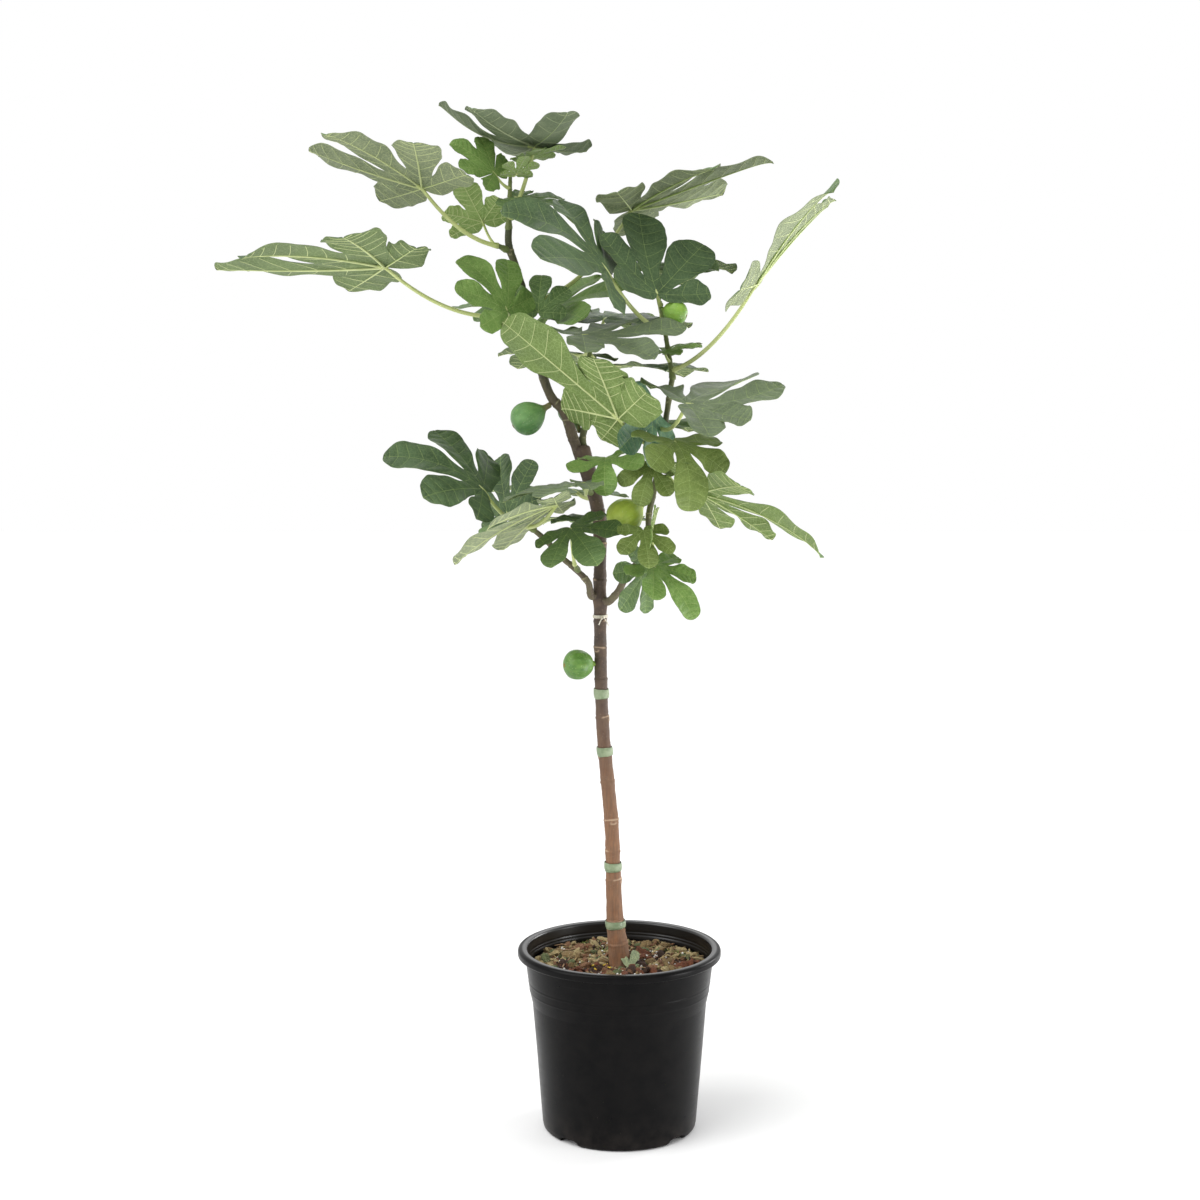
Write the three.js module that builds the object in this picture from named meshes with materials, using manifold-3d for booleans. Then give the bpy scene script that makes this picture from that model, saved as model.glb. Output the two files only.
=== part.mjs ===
// A young fig tree grown as a small standard in a nursery pot.
// Millimetres, +Z up. The origin is the middle of the pot's flat underside, -Y is the front.
// Angles are degrees: a heading is measured from +X towards +Y, a rise is measured up from level.
import * as THREE from 'three';
import { mergeVertices } from 'three/addons/utils/BufferGeometryUtils.js';
import Module from 'manifold-3d';

const wasm = await Module();
wasm.setup();

// ---------------------------------------------------------------- driving sizes
const POT_HEIGHT = 254;
const RIM_RADIUS = 140;
const RIM_DEPTH = 11;           // height of the rolled rim
const COLLAR_RADIUS = 130;      // wall just under the rim
const COLLAR_FOOT = 196;        // height where the collar meets the shoulder
const COLLAR_FOOT_RADIUS = 124;
const SHOULDER_FOOT = 178;      // height where the shoulder meets the lower wall
const SHOULDER_RADIUS = 120;
const BASE_RADIUS = 106;
const CORNER_RADIUS = 6;        // rounded edge round the underside
const POT_WALL = 3;
const POT_FLOOR = 6;
const POT_SIDES = 40;
const DRAIN = { count: 4, first: -132, width: 34, height: 8, depth: 16 };

const SOIL_LEVEL = 230;
const GAP = 0.3;                // air left between pieces that touch

const STALK_RADIUS = 3.0;       // leaf stalk where it leaves its stem
const STALK_TIP_RADIUS = 2.2;
const STALK_SAG = 0.24;         // how far a stalk bows down, as a share of its length
const LEAF_THICKNESS = 0.013;   // share of the blade's length

// A blade has five lobes spread like fingers. Sizes are shares of the blade's length.
const LOBES = [
  { angle: -92, length: 0.58, half: 0.17 },
  { angle: -44, length: 0.84, half: 0.21 },
  { angle: 0, length: 1.0, half: 0.235 },
  { angle: 44, length: 0.84, half: 0.21 },
  { angle: 92, length: 0.58, half: 0.17 },
];
const LOBE_WIDEST = 0.72;       // where a lobe is widest, as a share of its length
const LOBE_BLUNTNESS = 2.6;
const LOBE_FOLD = 0.035;        // how far a lobe's edges stand above its rib
const MAIN_ROWS = [0.66, 0.9];  // rows of points across a lobe, as shares of its length
const BASAL_ROWS = [0.72];
const HEEL_ANGLE = 52;          // the blade's back corners, past its last lobes
const HEEL_RADIUS = 0.55;

const COLOURS = {
  pot: 0x1b1c1e,
  soil: 0x4a3426,
  bark: 0x83705f,
  green_wood: 0x4c5230,
  leaf: 0x4f6b3c,
  fig: 0x5f9440,
  tape: 0x5d7a4a,
  string: 0xd9d2c0,
};

// ---------------------------------------------------------------- small helpers
const rad = THREE.MathUtils.degToRad;
const vec = (xyz) => new THREE.Vector3(...xyz);

function aim(heading, rise) {
  const level = Math.cos(rad(rise));
  return new THREE.Vector3(
    level * Math.cos(rad(heading)),
    level * Math.sin(rad(heading)),
    Math.sin(rad(rise)),
  );
}

function closedGeometry(points, faces) {
  const geometry = new THREE.BufferGeometry();
  geometry.setAttribute('position', new THREE.Float32BufferAttribute(points.flatMap((p) => p.toArray()), 3));
  geometry.setIndex(faces.flat());
  return mergeVertices(geometry, 1e-4);
}

function toSolid(geometry) {
  const bare = geometry.clone();
  bare.deleteAttribute('normal');
  bare.deleteAttribute('uv');
  const merged = mergeVertices(bare, 1e-4);
  return new wasm.Manifold(new wasm.Mesh({
    numProp: 3,
    vertProperties: Float32Array.from(merged.attributes.position.array),
    triVerts: Uint32Array.from(merged.index.array),
  }));
}

function toGeometry(solid) {
  const mesh = solid.getMesh();
  const geometry = new THREE.BufferGeometry();
  geometry.setAttribute('position', new THREE.Float32BufferAttribute(Array.from(mesh.vertProperties), 3));
  geometry.setIndex(Array.from(mesh.triVerts));
  return geometry;
}

const group = new THREE.Group();

function addPiece(name, geometry, color, roughness) {
  const material = new THREE.MeshStandardMaterial({ color, roughness, metalness: 0 });
  const mesh = new THREE.Mesh(geometry, material);
  mesh.name = name;
  group.add(mesh);
  return mesh;
}

// ---------------------------------------------------------------- limbs
// A limb is a round section carried along a smooth centre line, with a flat end at each end.
// Its radii are spread evenly over the same line. flatFoot keeps the first section level.
function limbGeometry(points, radii, { sides = 8, steps = 10, flatFoot = false } = {}) {
  const line = new THREE.CatmullRomCurve3(points, false, 'centripetal');
  const rings = [];
  for (let i = 0; i <= steps; i++) {
    const share = i / steps;
    const centre = line.getPointAt(share);
    const along = flatFoot && i === 0 ? new THREE.Vector3(0, 0, 1) : line.getTangentAt(share);
    const across = new THREE.Vector3(0, 1, 0).projectOnPlane(along);
    if (across.length() < 0.3) across.set(1, 0, 0).projectOnPlane(along);
    across.normalize();
    const other = new THREE.Vector3().crossVectors(along, across);
    const at = share * (radii.length - 1);
    const low = Math.min(Math.floor(at), radii.length - 2);
    const radius = THREE.MathUtils.lerp(radii[low], radii[low + 1], at - low);
    rings.push(Array.from({ length: sides }, (_, j) => {
      const turn = (2 * Math.PI * j) / sides;
      return centre.clone()
        .addScaledVector(across, radius * Math.cos(turn))
        .addScaledVector(other, radius * Math.sin(turn));
    }));
  }
  const points3 = rings.flat();
  const foot = points3.push(line.getPointAt(0)) - 1;
  const tip = points3.push(line.getPointAt(1)) - 1;
  const faces = [];
  for (let j = 0; j < sides; j++) {
    const next = (j + 1) % sides;
    faces.push([foot, next, j]);
    faces.push([tip, steps * sides + j, steps * sides + next]);
    for (let i = 0; i < steps; i++) {
      const a = i * sides + j;
      const b = i * sides + next;
      faces.push([a, b, b + sides], [a, b + sides, a + sides]);
    }
  }
  return closedGeometry(points3, faces);
}

// The point, the direction and the radius at a share of a limb's length.
function alongLimb(limb, share) {
  const line = new THREE.CatmullRomCurve3(limb.points, false, 'centripetal');
  const at = share * (limb.radii.length - 1);
  const low = Math.min(Math.floor(at), limb.radii.length - 2);
  return {
    point: line.getPointAt(share),
    along: line.getTangentAt(share),
    radius: THREE.MathUtils.lerp(limb.radii[low], limb.radii[low + 1], at - low),
  };
}

// ---------------------------------------------------------------- leaves
// Half the width of a lobe at a distance out along its rib: it swells from the gap between
// two lobes to its widest place, and then rounds off to its tip.
function lobeHalfWidth(distance, lobe, gap) {
  const widest = LOBE_WIDEST * lobe.length;
  if (distance < widest) {
    const share = THREE.MathUtils.smoothstep(distance, gap.distance, widest);
    return THREE.MathUtils.lerp(gap.half, lobe.half, share);
  }
  const past = (distance - widest) / (lobe.length - widest);
  return lobe.half * Math.sqrt(Math.max(0, 1 - past ** LOBE_BLUNTNESS));
}

// The flat outline of a blade of length 1, with its rib along +x. Each lobe is a list of rows,
// and a row is three points: its left edge, its rib and its right edge.
function flatBlade({ lobes = [1, 1, 1, 1, 1], cut = 0.32, wide = 1, splay = 1 }) {
  const fingers = LOBES.map((lobe, k) => ({
    angle: rad(lobe.angle * splay),
    length: lobe.length * lobes[k],
    half: lobe.half * wide * (0.6 + 0.4 * lobes[k]),
    rows: k === 0 || k === LOBES.length - 1 ? BASAL_ROWS : MAIN_ROWS,
  }));
  const polar = (radius, angle) => new THREE.Vector2(Math.cos(angle), Math.sin(angle)).multiplyScalar(radius);
  const gaps = fingers.slice(1).map((finger, k) => {
    const before = fingers[k];
    const shorter = Math.min(finger.length, before.length);
    return polar((cut * (shorter + 1)) / 2, (finger.angle + before.angle) / 2);
  });
  gaps.unshift(polar(HEEL_RADIUS * cut, fingers[0].angle - rad(HEEL_ANGLE)));
  gaps.push(polar(HEEL_RADIUS * cut, fingers.at(-1).angle + rad(HEEL_ANGLE)));
  return fingers.map((finger, k) => {
    const rib = polar(1, finger.angle);
    const side = new THREE.Vector2(-rib.y, rib.x);
    const gapAt = (gap) => ({ distance: gap.dot(rib), half: Math.abs(gap.dot(side)) });
    const [right, left] = [gapAt(gaps[k]), gapAt(gaps[k + 1])];
    const spot = (distance, off) => rib.clone().multiplyScalar(distance).addScaledVector(side, off);
    const middle = (right.distance + left.distance) / 2;
    const rows = [[gaps[k], spot(middle, 0), gaps[k + 1]]];
    for (const share of finger.rows) {
      const distance = share * finger.length;
      const off = [lobeHalfWidth(distance, finger, right), lobeHalfWidth(distance, finger, left)];
      rows.push([spot(distance, -off[0]), spot(distance, 0), spot(distance, off[1])]);
    }
    return { rows, tip: spot(finger.length, 0) };
  });
}

// Where a point of the flat blade lies in the air. The rib bends down through `droop`, the sides
// fall by `cup` and the blade turns about its rib by `twist`. lift is a height above the blade.
function bladeSurface(foot, { face, pitch = 0, roll = 0, blade, droop = 20, cup = 0.1, twist = 0 }) {
  const rib = aim(face, pitch);
  const level = new THREE.Vector3(-Math.sin(rad(face)), Math.cos(rad(face)), 0);
  const side = level.clone().applyAxisAngle(rib, rad(roll));
  const up = new THREE.Vector3().crossVectors(rib, side);
  const bend = rad(droop === 0 ? 0.01 : droop) / blade;
  const bare = (x, y) => {
    const turn = (rad(twist) * x) / blade;
    const fall = (cup * y * y) / blade;
    const off = y * Math.cos(turn) + fall * Math.sin(turn);
    const rise = y * Math.sin(turn) - fall * Math.cos(turn);
    return foot.clone()
      .addScaledVector(rib, Math.sin(bend * x) / bend + Math.sin(bend * x) * rise)
      .addScaledVector(side, off)
      .addScaledVector(up, Math.cos(bend * x) * rise - (1 - Math.cos(bend * x)) / bend);
  };
  return (flat, lift) => {
    const [x, y] = [flat.x * blade, flat.y * blade];
    const step = 0.01 * blade;
    const alongX = bare(x + step, y).sub(bare(x - step, y));
    const alongY = bare(x, y + step).sub(bare(x, y - step));
    const normal = alongX.cross(alongY).normalize();
    return bare(x, y).addScaledVector(normal, lift);
  };
}

function bladeGeometry(foot, leaf) {
  const place = bladeSurface(foot, leaf);
  const half = (LEAF_THICKNESS * leaf.blade) / 2;
  const fold = LOBE_FOLD * leaf.blade;
  const points = [];
  const faces = [];
  const add = (flat, edge, side) => points.push(place(flat, side * half + (edge ? fold : 0))) - 1;
  // one triangle on top, its twin underneath
  const skin = (...corners) => {
    const top = corners.map(([flat, edge]) => add(flat, edge, 1));
    const under = corners.map(([flat, edge]) => add(flat, edge, -1));
    faces.push(top, under.reverse());
  };
  const wall = ([flatA, edgeA], [flatB, edgeB]) => {
    const a = [add(flatA, edgeA, 1), add(flatA, edgeA, -1)];
    const b = [add(flatB, edgeB, 1), add(flatB, edgeB, -1)];
    faces.push([a[0], a[1], b[1]], [a[0], b[1], b[0]]);
  };
  const base = [new THREE.Vector2(0, 0), false];
  const lobes = flatBlade(leaf).map(({ rows, tip }) => ({
    rows: rows.map(([right, rib, left], i) => [[right, i > 0], [rib, false], [left, i > 0]]),
    tip: [tip, false],
  }));
  for (const { rows, tip } of lobes) {
    const [right, rib, left] = rows[0];
    skin(base, right, rib);
    skin(base, rib, left);
    for (let i = 1; i < rows.length; i++) {
      for (let c = 0; c < 2; c++) {
        skin(rows[i - 1][c], rows[i][c], rows[i][c + 1]);
        skin(rows[i - 1][c], rows[i][c + 1], rows[i - 1][c + 1]);
      }
    }
    const last = rows.at(-1);
    skin(last[0], tip, last[1]);
    skin(last[1], tip, last[2]);
    const edge = [...rows.map((row) => row[0]), tip, ...rows.map((row) => row[2]).reverse()];
    for (let i = 1; i < edge.length; i++) wall(edge[i - 1], edge[i]);
  }
  wall(base, lobes[0].rows[0][0]);
  wall(lobes.at(-1).rows[0][2], base);
  return closedGeometry(points, faces);
}

// A leaf on its stalk. The stalk bows down between its stem and the blade's foot, and its end
// runs on into the blade along the rib.
function leafSolid(start, leaf) {
  const foot = start.clone().addScaledVector(aim(leaf.heading, leaf.rise), leaf.reach);
  const bow = start.clone().lerp(foot, 0.5).add(new THREE.Vector3(0, 0, -STALK_SAG * leaf.reach));
  const curve = new THREE.QuadraticBezierCurve3(start, bow, foot);
  const steps = leaf.reach > 60 ? 4 : 2;
  const sunk = bladeSurface(foot, leaf)(new THREE.Vector2(0.05, 0), 0);
  const stalk = limbGeometry([...curve.getPoints(steps), sunk], [STALK_RADIUS, STALK_TIP_RADIUS], {
    sides: 4,
    steps: steps + 1,
  });
  return toSolid(stalk).add(toSolid(bladeGeometry(foot, leaf)));
}

// A solid of revolution about +Z from pairs of radius and height, going up on the outside.
function turned(profile, sides) {
  const geometry = new THREE.LatheGeometry(profile.map(([r, z]) => new THREE.Vector2(r, z)), sides);
  geometry.deleteAttribute('normal');
  geometry.deleteAttribute('uv');
  geometry.rotateX(Math.PI / 2);
  return mergeVertices(geometry, 1e-4);
}

// ---------------------------------------------------------------- figs
// A fig stands on a neck. Its body is a teardrop turned about its own axis, as pairs of distance
// from the axis and height above the body's middle, both as shares of its radius.
const FIG_BODY = [[0.6, -0.84], [0.93, -0.35], [1.0, 0.12], [0.84, 0.58], [0.45, 0.88]];
const FIG_EYE = 0.96;
const FIG_NECK = 0.17;
const FIG_SIDES = 10;

// foot is the end of the neck, and reach is the distance from it to the body's middle.
function figGeometry(foot, { heading, rise, radius, reach }) {
  const neck = [[0, -reach], [FIG_NECK * radius, -reach], [1.3 * FIG_NECK * radius, -0.3 * reach - 0.7 * radius]];
  const body = FIG_BODY.map(([across, up]) => [across * radius, up * radius]);
  const geometry = turned([...neck, ...body, [0, FIG_EYE * radius]], FIG_SIDES);
  const axis = aim(heading, rise);
  const centre = foot.clone().addScaledVector(axis, reach);
  geometry.applyQuaternion(new THREE.Quaternion().setFromUnitVectors(new THREE.Vector3(0, 0, 1), axis));
  geometry.translate(centre.x, centre.y, centre.z);
  return geometry;
}

// ---------------------------------------------------------------- pot and soil
// Outside radius of the pot's wall at a height: the lower wall, the shoulder and the collar.
function wallRadius(height) {
  const bends = [
    [0, BASE_RADIUS],
    [SHOULDER_FOOT, SHOULDER_RADIUS],
    [COLLAR_FOOT, COLLAR_FOOT_RADIUS],
    [POT_HEIGHT - RIM_DEPTH, COLLAR_RADIUS],
  ];
  const above = Math.max(1, bends.findIndex(([level]) => height <= level));
  const [[z0, r0], [z1, r1]] = [bends[above - 1], bends[above]];
  return THREE.MathUtils.lerp(r0, r1, (height - z0) / (z1 - z0));
}

function potGeometry() {
  const rimFoot = POT_HEIGHT - RIM_DEPTH;
  const innerTop = wallRadius(rimFoot) - POT_WALL;
  const floor = POT_FLOOR;
  const profile = [
    [0, 0],
    [BASE_RADIUS - CORNER_RADIUS, 0],
    [BASE_RADIUS, CORNER_RADIUS],
    [SHOULDER_RADIUS, SHOULDER_FOOT],
    [COLLAR_FOOT_RADIUS, COLLAR_FOOT],
    [COLLAR_RADIUS, rimFoot],
    [RIM_RADIUS - 2, rimFoot],
    [RIM_RADIUS, rimFoot + 3],
    [RIM_RADIUS - 1.5, POT_HEIGHT - 2],
    [RIM_RADIUS - 5, POT_HEIGHT],
    [innerTop + 3, POT_HEIGHT - 1.5],
    [innerTop, rimFoot - 2],
    [COLLAR_FOOT_RADIUS - POT_WALL, COLLAR_FOOT],
    [SHOULDER_RADIUS - POT_WALL, SHOULDER_FOOT],
    [BASE_RADIUS - POT_WALL, floor],
    [0, floor],
  ];
  let pot = toSolid(turned(profile, POT_SIDES));
  for (let i = 0; i < DRAIN.count; i++) {
    const slot = new THREE.BoxGeometry(2 * DRAIN.depth, DRAIN.width, 2 * DRAIN.height);
    slot.translate(BASE_RADIUS, 0, 0);
    slot.rotateZ(rad(DRAIN.first + (360 * i) / DRAIN.count));
    pot = pot.subtract(toSolid(slot));
  }
  return toGeometry(pot);
}

function soilGeometry() {
  const bottom = Math.max(POT_FLOOR, DRAIN.height) + 1;
  const inside = (height) => wallRadius(height) - POT_WALL - 3 * GAP;
  return turned([
    [0, bottom],
    [BASE_RADIUS - DRAIN.depth - POT_WALL, bottom],
    [inside(bottom + 20), bottom + 20],
    [inside(SHOULDER_FOOT), SHOULDER_FOOT],
    [inside(COLLAR_FOOT), COLLAR_FOOT],
    [inside(SOIL_LEVEL), SOIL_LEVEL],
    [0, SOIL_LEVEL],
  ], POT_SIDES);
}

// ---------------------------------------------------------------- the plan of the tree
// A limb is its centre line, its radii, spread evenly along it, and its colour. `root` says where a
// bough springs from: a share of its parent's length and a heading, or a spot beside the middle of
// the parent's top. The bough leaves straight for a stub's length before its own points begin.
const LIMBS = {
  trunk: {
    points: [[1, -8, SOIL_LEVEL + GAP], [-6, -7, 291], [-9, -6, 364], [-11, -4, 427], [-17, -3, 491],
      [-23, -1, 560], [-26, 0, 640], [-27, 1, 736], [-29, 3, 851], [-40, 4, 898], [-52, 5, 938]],
    radii: [15.5, 11.5, 10.2, 9.8, 9.4, 8.8, 8.4, 8.6, 8.8, 9.4, 12.5],
    sides: 12,
    steps: 18,
    flatFoot: true,
    color: COLOURS.bark,
  },
  leader_bough: {
    root: { on: 'trunk', beside: [-5.5, -2], stub: 12 },
    points: [[-75, -1, 988], [-92, -3, 1009], [-100, -5, 1028], [-112, -9, 1071], [-122, -12, 1108],
      [-129, -15, 1150], [-139, -17, 1183], [-147, -18, 1209], [-147, -18, 1231]],
    radii: [7, 6.4, 6.0, 5.6, 5.3, 5.0, 4.8],
    steps: 16,
    color: COLOURS.bark,
  },
  middle_bough: {
    root: { on: 'trunk', beside: [5, 5.5], stub: 12 },
    points: [[-47, 14, 971], [-49, 18, 1011], [-43, 22, 1051]],
    radii: [4.8, 4.3, 4.0],
    steps: 6,
    color: COLOURS.green_wood,
  },
  right_bough: {
    root: { on: 'trunk', at: 0.71, heading: 320, stub: 6 },
    points: [[-3, -18, 749], [9, -24, 772], [26, -28, 793], [36, -31, 813], [38, -35, 854], [46, -39, 894],
      [54, -42, 939], [61, -43, 989], [68, -42, 1035]],
    radii: [5.2, 4.6, 4.3, 4.1, 4.0, 3.8],
    steps: 14,
    color: COLOURS.green_wood,
  },
  left_bough: {
    root: { on: 'trunk', at: 0.72, heading: 215, stub: 5 },
    points: [[-43, -16, 761], [-62, -22, 782], [-80, -28, 798], [-98, -34, 819], [-115, -38, 834]],
    radii: [4.8, 4.2, 3.8, 3.6],
    steps: 8,
    color: COLOURS.green_wood,
  },
};

// Each mass of leaves grows on one stem. `on` names the limb that the stem springs from and `at`
// is the share of that limb's length, 1 being its tip. stem is heading, rise, length and radius.
// A leaf stands at a share of that stem. heading, rise and reach lay out its stalk, and face,
// pitch, roll and blade lay out its blade.
const MASSES = {
  top_leaves: {
    on: 'leader_bough', at: 1, stem: [60, 86, 72, 4.0, 2.2],
    leaves: [
      { at: 0.15, heading: 355, rise: 70, reach: 100, face: 171, roll: 10, blade: 160, droop: -55, cup: -0.1,
        splay: 1.35, lobes: [1.1, 1, 0.9, 0.95, 1.2], cut: 0.36 },
      { at: 0.5, heading: 325, rise: 15, reach: 10, face: 345, pitch: -5, roll: 15, blade: 85 },
      { at: 0.7, heading: 210, rise: 40, reach: 30, face: 200, pitch: 45, roll: -50, blade: 70, droop: 30,
        cup: -0.05, cut: 0.6 },
      { at: 0.95, heading: 10, rise: 50, reach: 25, face: 350, pitch: 20, roll: -5, blade: 60, droop: 10 },
      { at: 1, heading: 290, rise: -5, reach: 25, face: 295, pitch: 35, blade: 40, droop: 10 },
    ],
  },
  upper_left_leaves: {
    on: 'leader_bough', at: 0.915, stem: [215, 20, 12, 3.6, 3.2],
    leaves: [
      { at: 1, heading: 200, rise: 35, reach: 125, face: 220, pitch: 30, roll: 10, blade: 160, droop: 15, cup: -0.1,
        twist: -10, lobes: [1, 1.15, 1, 0.9, 0.9] },
      { at: 0.7, heading: 115, rise: 30, reach: 70, face: 250, pitch: 35, roll: 20, blade: 75, droop: 0, cup: 0.2,
        lobes: [1.1, 0.95, 1.1, 0.85, 1], cut: 0.5 },
    ],
  },
  left_leaves: {
    on: 'leader_bough', at: 0.62, stem: [200, 10, 14, 3.6, 3.2],
    leaves: [
      { at: 1, heading: 195, rise: 20, reach: 180, face: 210, pitch: 10, roll: 15, blade: 210, droop: 15,
        cup: -0.05, twist: -10, lobes: [1, 1.3, 0.95, 0.85, 0.7], cut: 0.42 },
      { at: 0.8, heading: 265, rise: 5, reach: 75, face: 195, pitch: 65, roll: -55, blade: 95, droop: 50, cup: 0 },
    ],
  },
  inner_right_leaves: {
    on: 'leader_bough', at: 0.67, stem: [20, 25, 12, 3.6, 3.2],
    leaves: [
      { at: 0.9, heading: 30, rise: 40, reach: 190, face: 355, pitch: 20, roll: -10, blade: 200, droop: 0,
        cup: 0.05, twist: 10 },
      { at: 0.8, heading: 275, rise: -20, reach: 45, face: 85, pitch: 60, blade: 65 },
      { at: 1, heading: 60, rise: -30, reach: 30, face: 335, pitch: 25, roll: 30, blade: 115,
        lobes: [0.6, 1, 1, 1, 1] },
      { at: 0.7, heading: 95, rise: -10, reach: 65, face: 110, pitch: 20, roll: -5, blade: 145, droop: 30 },
    ],
  },
  centre_leaves: {
    on: 'middle_bough', at: 1, stem: [55, 75, 42, 3.6, 2.6],
    leaves: [
      { at: 1, heading: 265, rise: 0, reach: 145, face: 15, roll: 10, blade: 145, droop: -10, cup: 0.2, twist: 10,
        splay: 1.1, lobes: [1, 0.9, 0.95, 1.1, 0.8] },
      { at: 0.95, heading: 75, rise: 20, reach: 65, face: 70, pitch: 15, roll: 5, blade: 160, droop: 40 },
      { at: 0.5, heading: 115, rise: -5, reach: 55, face: 130, pitch: 5, roll: 5, blade: 125, droop: 30 },
      { at: 0.3, heading: 40, rise: -15, reach: 50, face: 50, blade: 150, droop: 10 },
    ],
  },
  right_top_leaves: {
    on: 'right_bough', at: 1, stem: [160, 80, 100, 3.6, 2.4],
    leaves: [
      { at: 0.08, heading: 10, rise: 45, reach: 160, face: 345, pitch: 55, blade: 215, cup: -0.05,
        lobes: [1.1, 1.25, 0.7, 1, 1] },
      { at: 0.2, heading: 240, rise: 40, reach: 20, face: 35, pitch: 20, blade: 60 },
      { at: 0.6, heading: 215, rise: 40, reach: 125, face: 220, pitch: 45, roll: -45, blade: 170, droop: 50,
        cup: -0.05, lobes: [1.1, 0.8, 0.95, 1.15, 1], cut: 0.27 },
      { at: 0.8, heading: 95, rise: 40, reach: 105, face: 75, pitch: 15, blade: 150, droop: 45 },
      { at: 0.95, heading: 245, rise: 50, reach: 20, face: 110, pitch: 45, roll: 10, blade: 125, droop: -20,
        cup: -0.4, lobes: [1, 1.1, 1.05, 1, 1], cut: 0.27, wide: 1.15 },
    ],
    figs: [{ at: 0.9, heading: 345, rise: -15, radius: 16, reach: 20 }],
  },
  right_upper_leaves: {
    on: 'right_bough', at: 0.8, stem: [200, 15, 12, 3.4, 3.0],
    leaves: [
      { at: 0.4, heading: 285, rise: 15, reach: 130, face: 25, pitch: -5, roll: 20, blade: 170, droop: -40, cup: 0.25,
        twist: -10, lobes: [0.85, 0.6, 0.8, 1.25, 1], cut: 0.25 },
      { at: 1, heading: 266, rise: 35, reach: 25, face: 230, pitch: -30, roll: -75, blade: 85, droop: -10 },
      { at: 0.8, heading: 90, rise: 0, reach: 65, face: 60, pitch: 10, blade: 105, droop: 35 },
    ],
  },
  right_front_leaves: {
    on: 'right_bough', at: 0.72, stem: [270, 15, 12, 3.4, 3.0],
    leaves: [
      { at: 1, heading: 225, rise: 25, reach: 90, face: 180, pitch: 40, roll: 35, blade: 175, droop: 0,
        lobes: [0.6, 0.6, 1.1, 0.7, 0.9], cut: 0.42, wide: 1.2 },
      { at: 0.8, heading: 285, rise: 10, reach: 55, face: 295, pitch: -20, roll: -5, blade: 105, droop: 75,
        cup: -0.1, lobes: [1, 0.9, 1.05, 0.9, 1.15] },
    ],
  },
  right_middle_leaves: {
    on: 'right_bough', at: 0.6, stem: [320, 10, 12, 3.4, 3.0],
    leaves: [
      { at: 1, heading: 345, rise: -25, reach: 50, face: 330, pitch: -10, roll: -30, blade: 175,
        lobes: [1, 0.95, 1.15, 0.8, 1], cut: 0.25, wide: 0.85 },
      { at: 0.7, heading: 235, rise: 25, reach: 35, face: 250, pitch: -35, roll: -15, blade: 60, droop: 50 },
    ],
  },
  right_low_leaves: {
    on: 'right_bough', at: 0.33, stem: [290, 15, 12, 3.4, 3.0],
    leaves: [
      { at: 1, heading: 270, rise: -40, reach: 45, face: 320, pitch: -25, roll: 10, blade: 85, droop: 40, cup: 0,
        lobes: [1, 0.95, 1.1, 0.85, 1] },
      { at: 0.8, heading: 245, rise: -60, reach: 40, face: 230, pitch: -45, roll: -85, blade: 70, droop: 5 },
      { at: 0.9, heading: 265, rise: 0, reach: 40, face: 285, pitch: 60, roll: 10, blade: 60, droop: -5 },
      { at: 0.6, heading: 258, rise: 20, reach: 60, face: 280, pitch: -40, blade: 60, droop: 15 },
    ],
  },
  trunk_front_leaves: {
    on: 'trunk', at: 0.92, stem: [240, 20, 14, 3.4, 3.0],
    leaves: [
      { at: 1, heading: 310, rise: 45, reach: 60, face: 265, pitch: -15, roll: 10, blade: 70, droop: 40, cup: -0.25,
        twist: -10, splay: 1.2, lobes: [1, 1, 1.1, 1.1, 0.8] },
      { at: 0.8, heading: 270, rise: 10, reach: 85, face: 185, pitch: -5, blade: 110, droop: 15 },
    ],
  },
  trunk_back_leaves: {
    on: 'trunk', at: 0.9, stem: [100, 15, 14, 3.4, 3.0],
    leaves: [
      { at: 0.9, heading: 130, rise: 10, reach: 40, face: 125, pitch: 5, roll: 5, blade: 145, droop: 30 },
      { at: 1, heading: 80, rise: -40, reach: 50, face: 100, pitch: 5, blade: 115, droop: 30 },
    ],
  },
  left_shoot_leaves: {
    on: 'left_bough', at: 1, stem: [190, 25, 20, 3.4, 2.6],
    leaves: [
      { at: 1, heading: 215, rise: 40, reach: 75, face: 205, pitch: 40, roll: -40, blade: 135, droop: 50,
        lobes: [1.15, 1, 1.05, 0.95, 0.8], cut: 0.27 },
      { at: 0.8, heading: 155, rise: 30, reach: 25, face: 110, pitch: 55, roll: -60, blade: 95, droop: 10,
        cup: 0.2 },
      { at: 0.5, heading: 305, rise: 25, reach: 80, face: 180, pitch: -20, roll: 15, blade: 155,
        lobes: [0.6, 1, 1, 1, 0.6] },
    ],
  },
  left_low_leaves: {
    on: 'left_bough', at: 0.4, stem: [250, 35, 12, 3.2, 2.8],
    leaves: [
      { at: 1, heading: 260, rise: 60, reach: 60, face: 290, pitch: -15, roll: 25, blade: 90, droop: 25,
        cup: 0.15 },
    ],
  },
};

// Figs that stand straight on a limb. `on` and `at` are as above.
const FIGS = {
  leader_fig: { on: 'leader_bough', at: 0.24, heading: 188, rise: -30, radius: 22.5, reach: 36 },
  trunk_fig: { on: 'trunk', at: 0.59, heading: 200, rise: 0, radius: 20.5, reach: 24 },
  fork_fig: { on: 'middle_bough', at: 0.2, heading: 116, rise: 50, radius: 20, reach: 36 },
  shoot_fig: { on: 'right_bough', at: 0.5, heading: 208, rise: -30, radius: 24, reach: 40 },
};

// Bands round the trunk: four of grafting tape and one of white string.
const TAPES = [
  { name: 'tape_low', at: 0.082, width: 12 },
  { name: 'tape_second', at: 0.195, width: 14 },
  { name: 'tape_third', at: 0.42, width: 14 },
  { name: 'tape_top', at: 0.532, width: 15 },
];
const STRING = { name: 'string_tie', at: 0.68, width: 4 };

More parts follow.
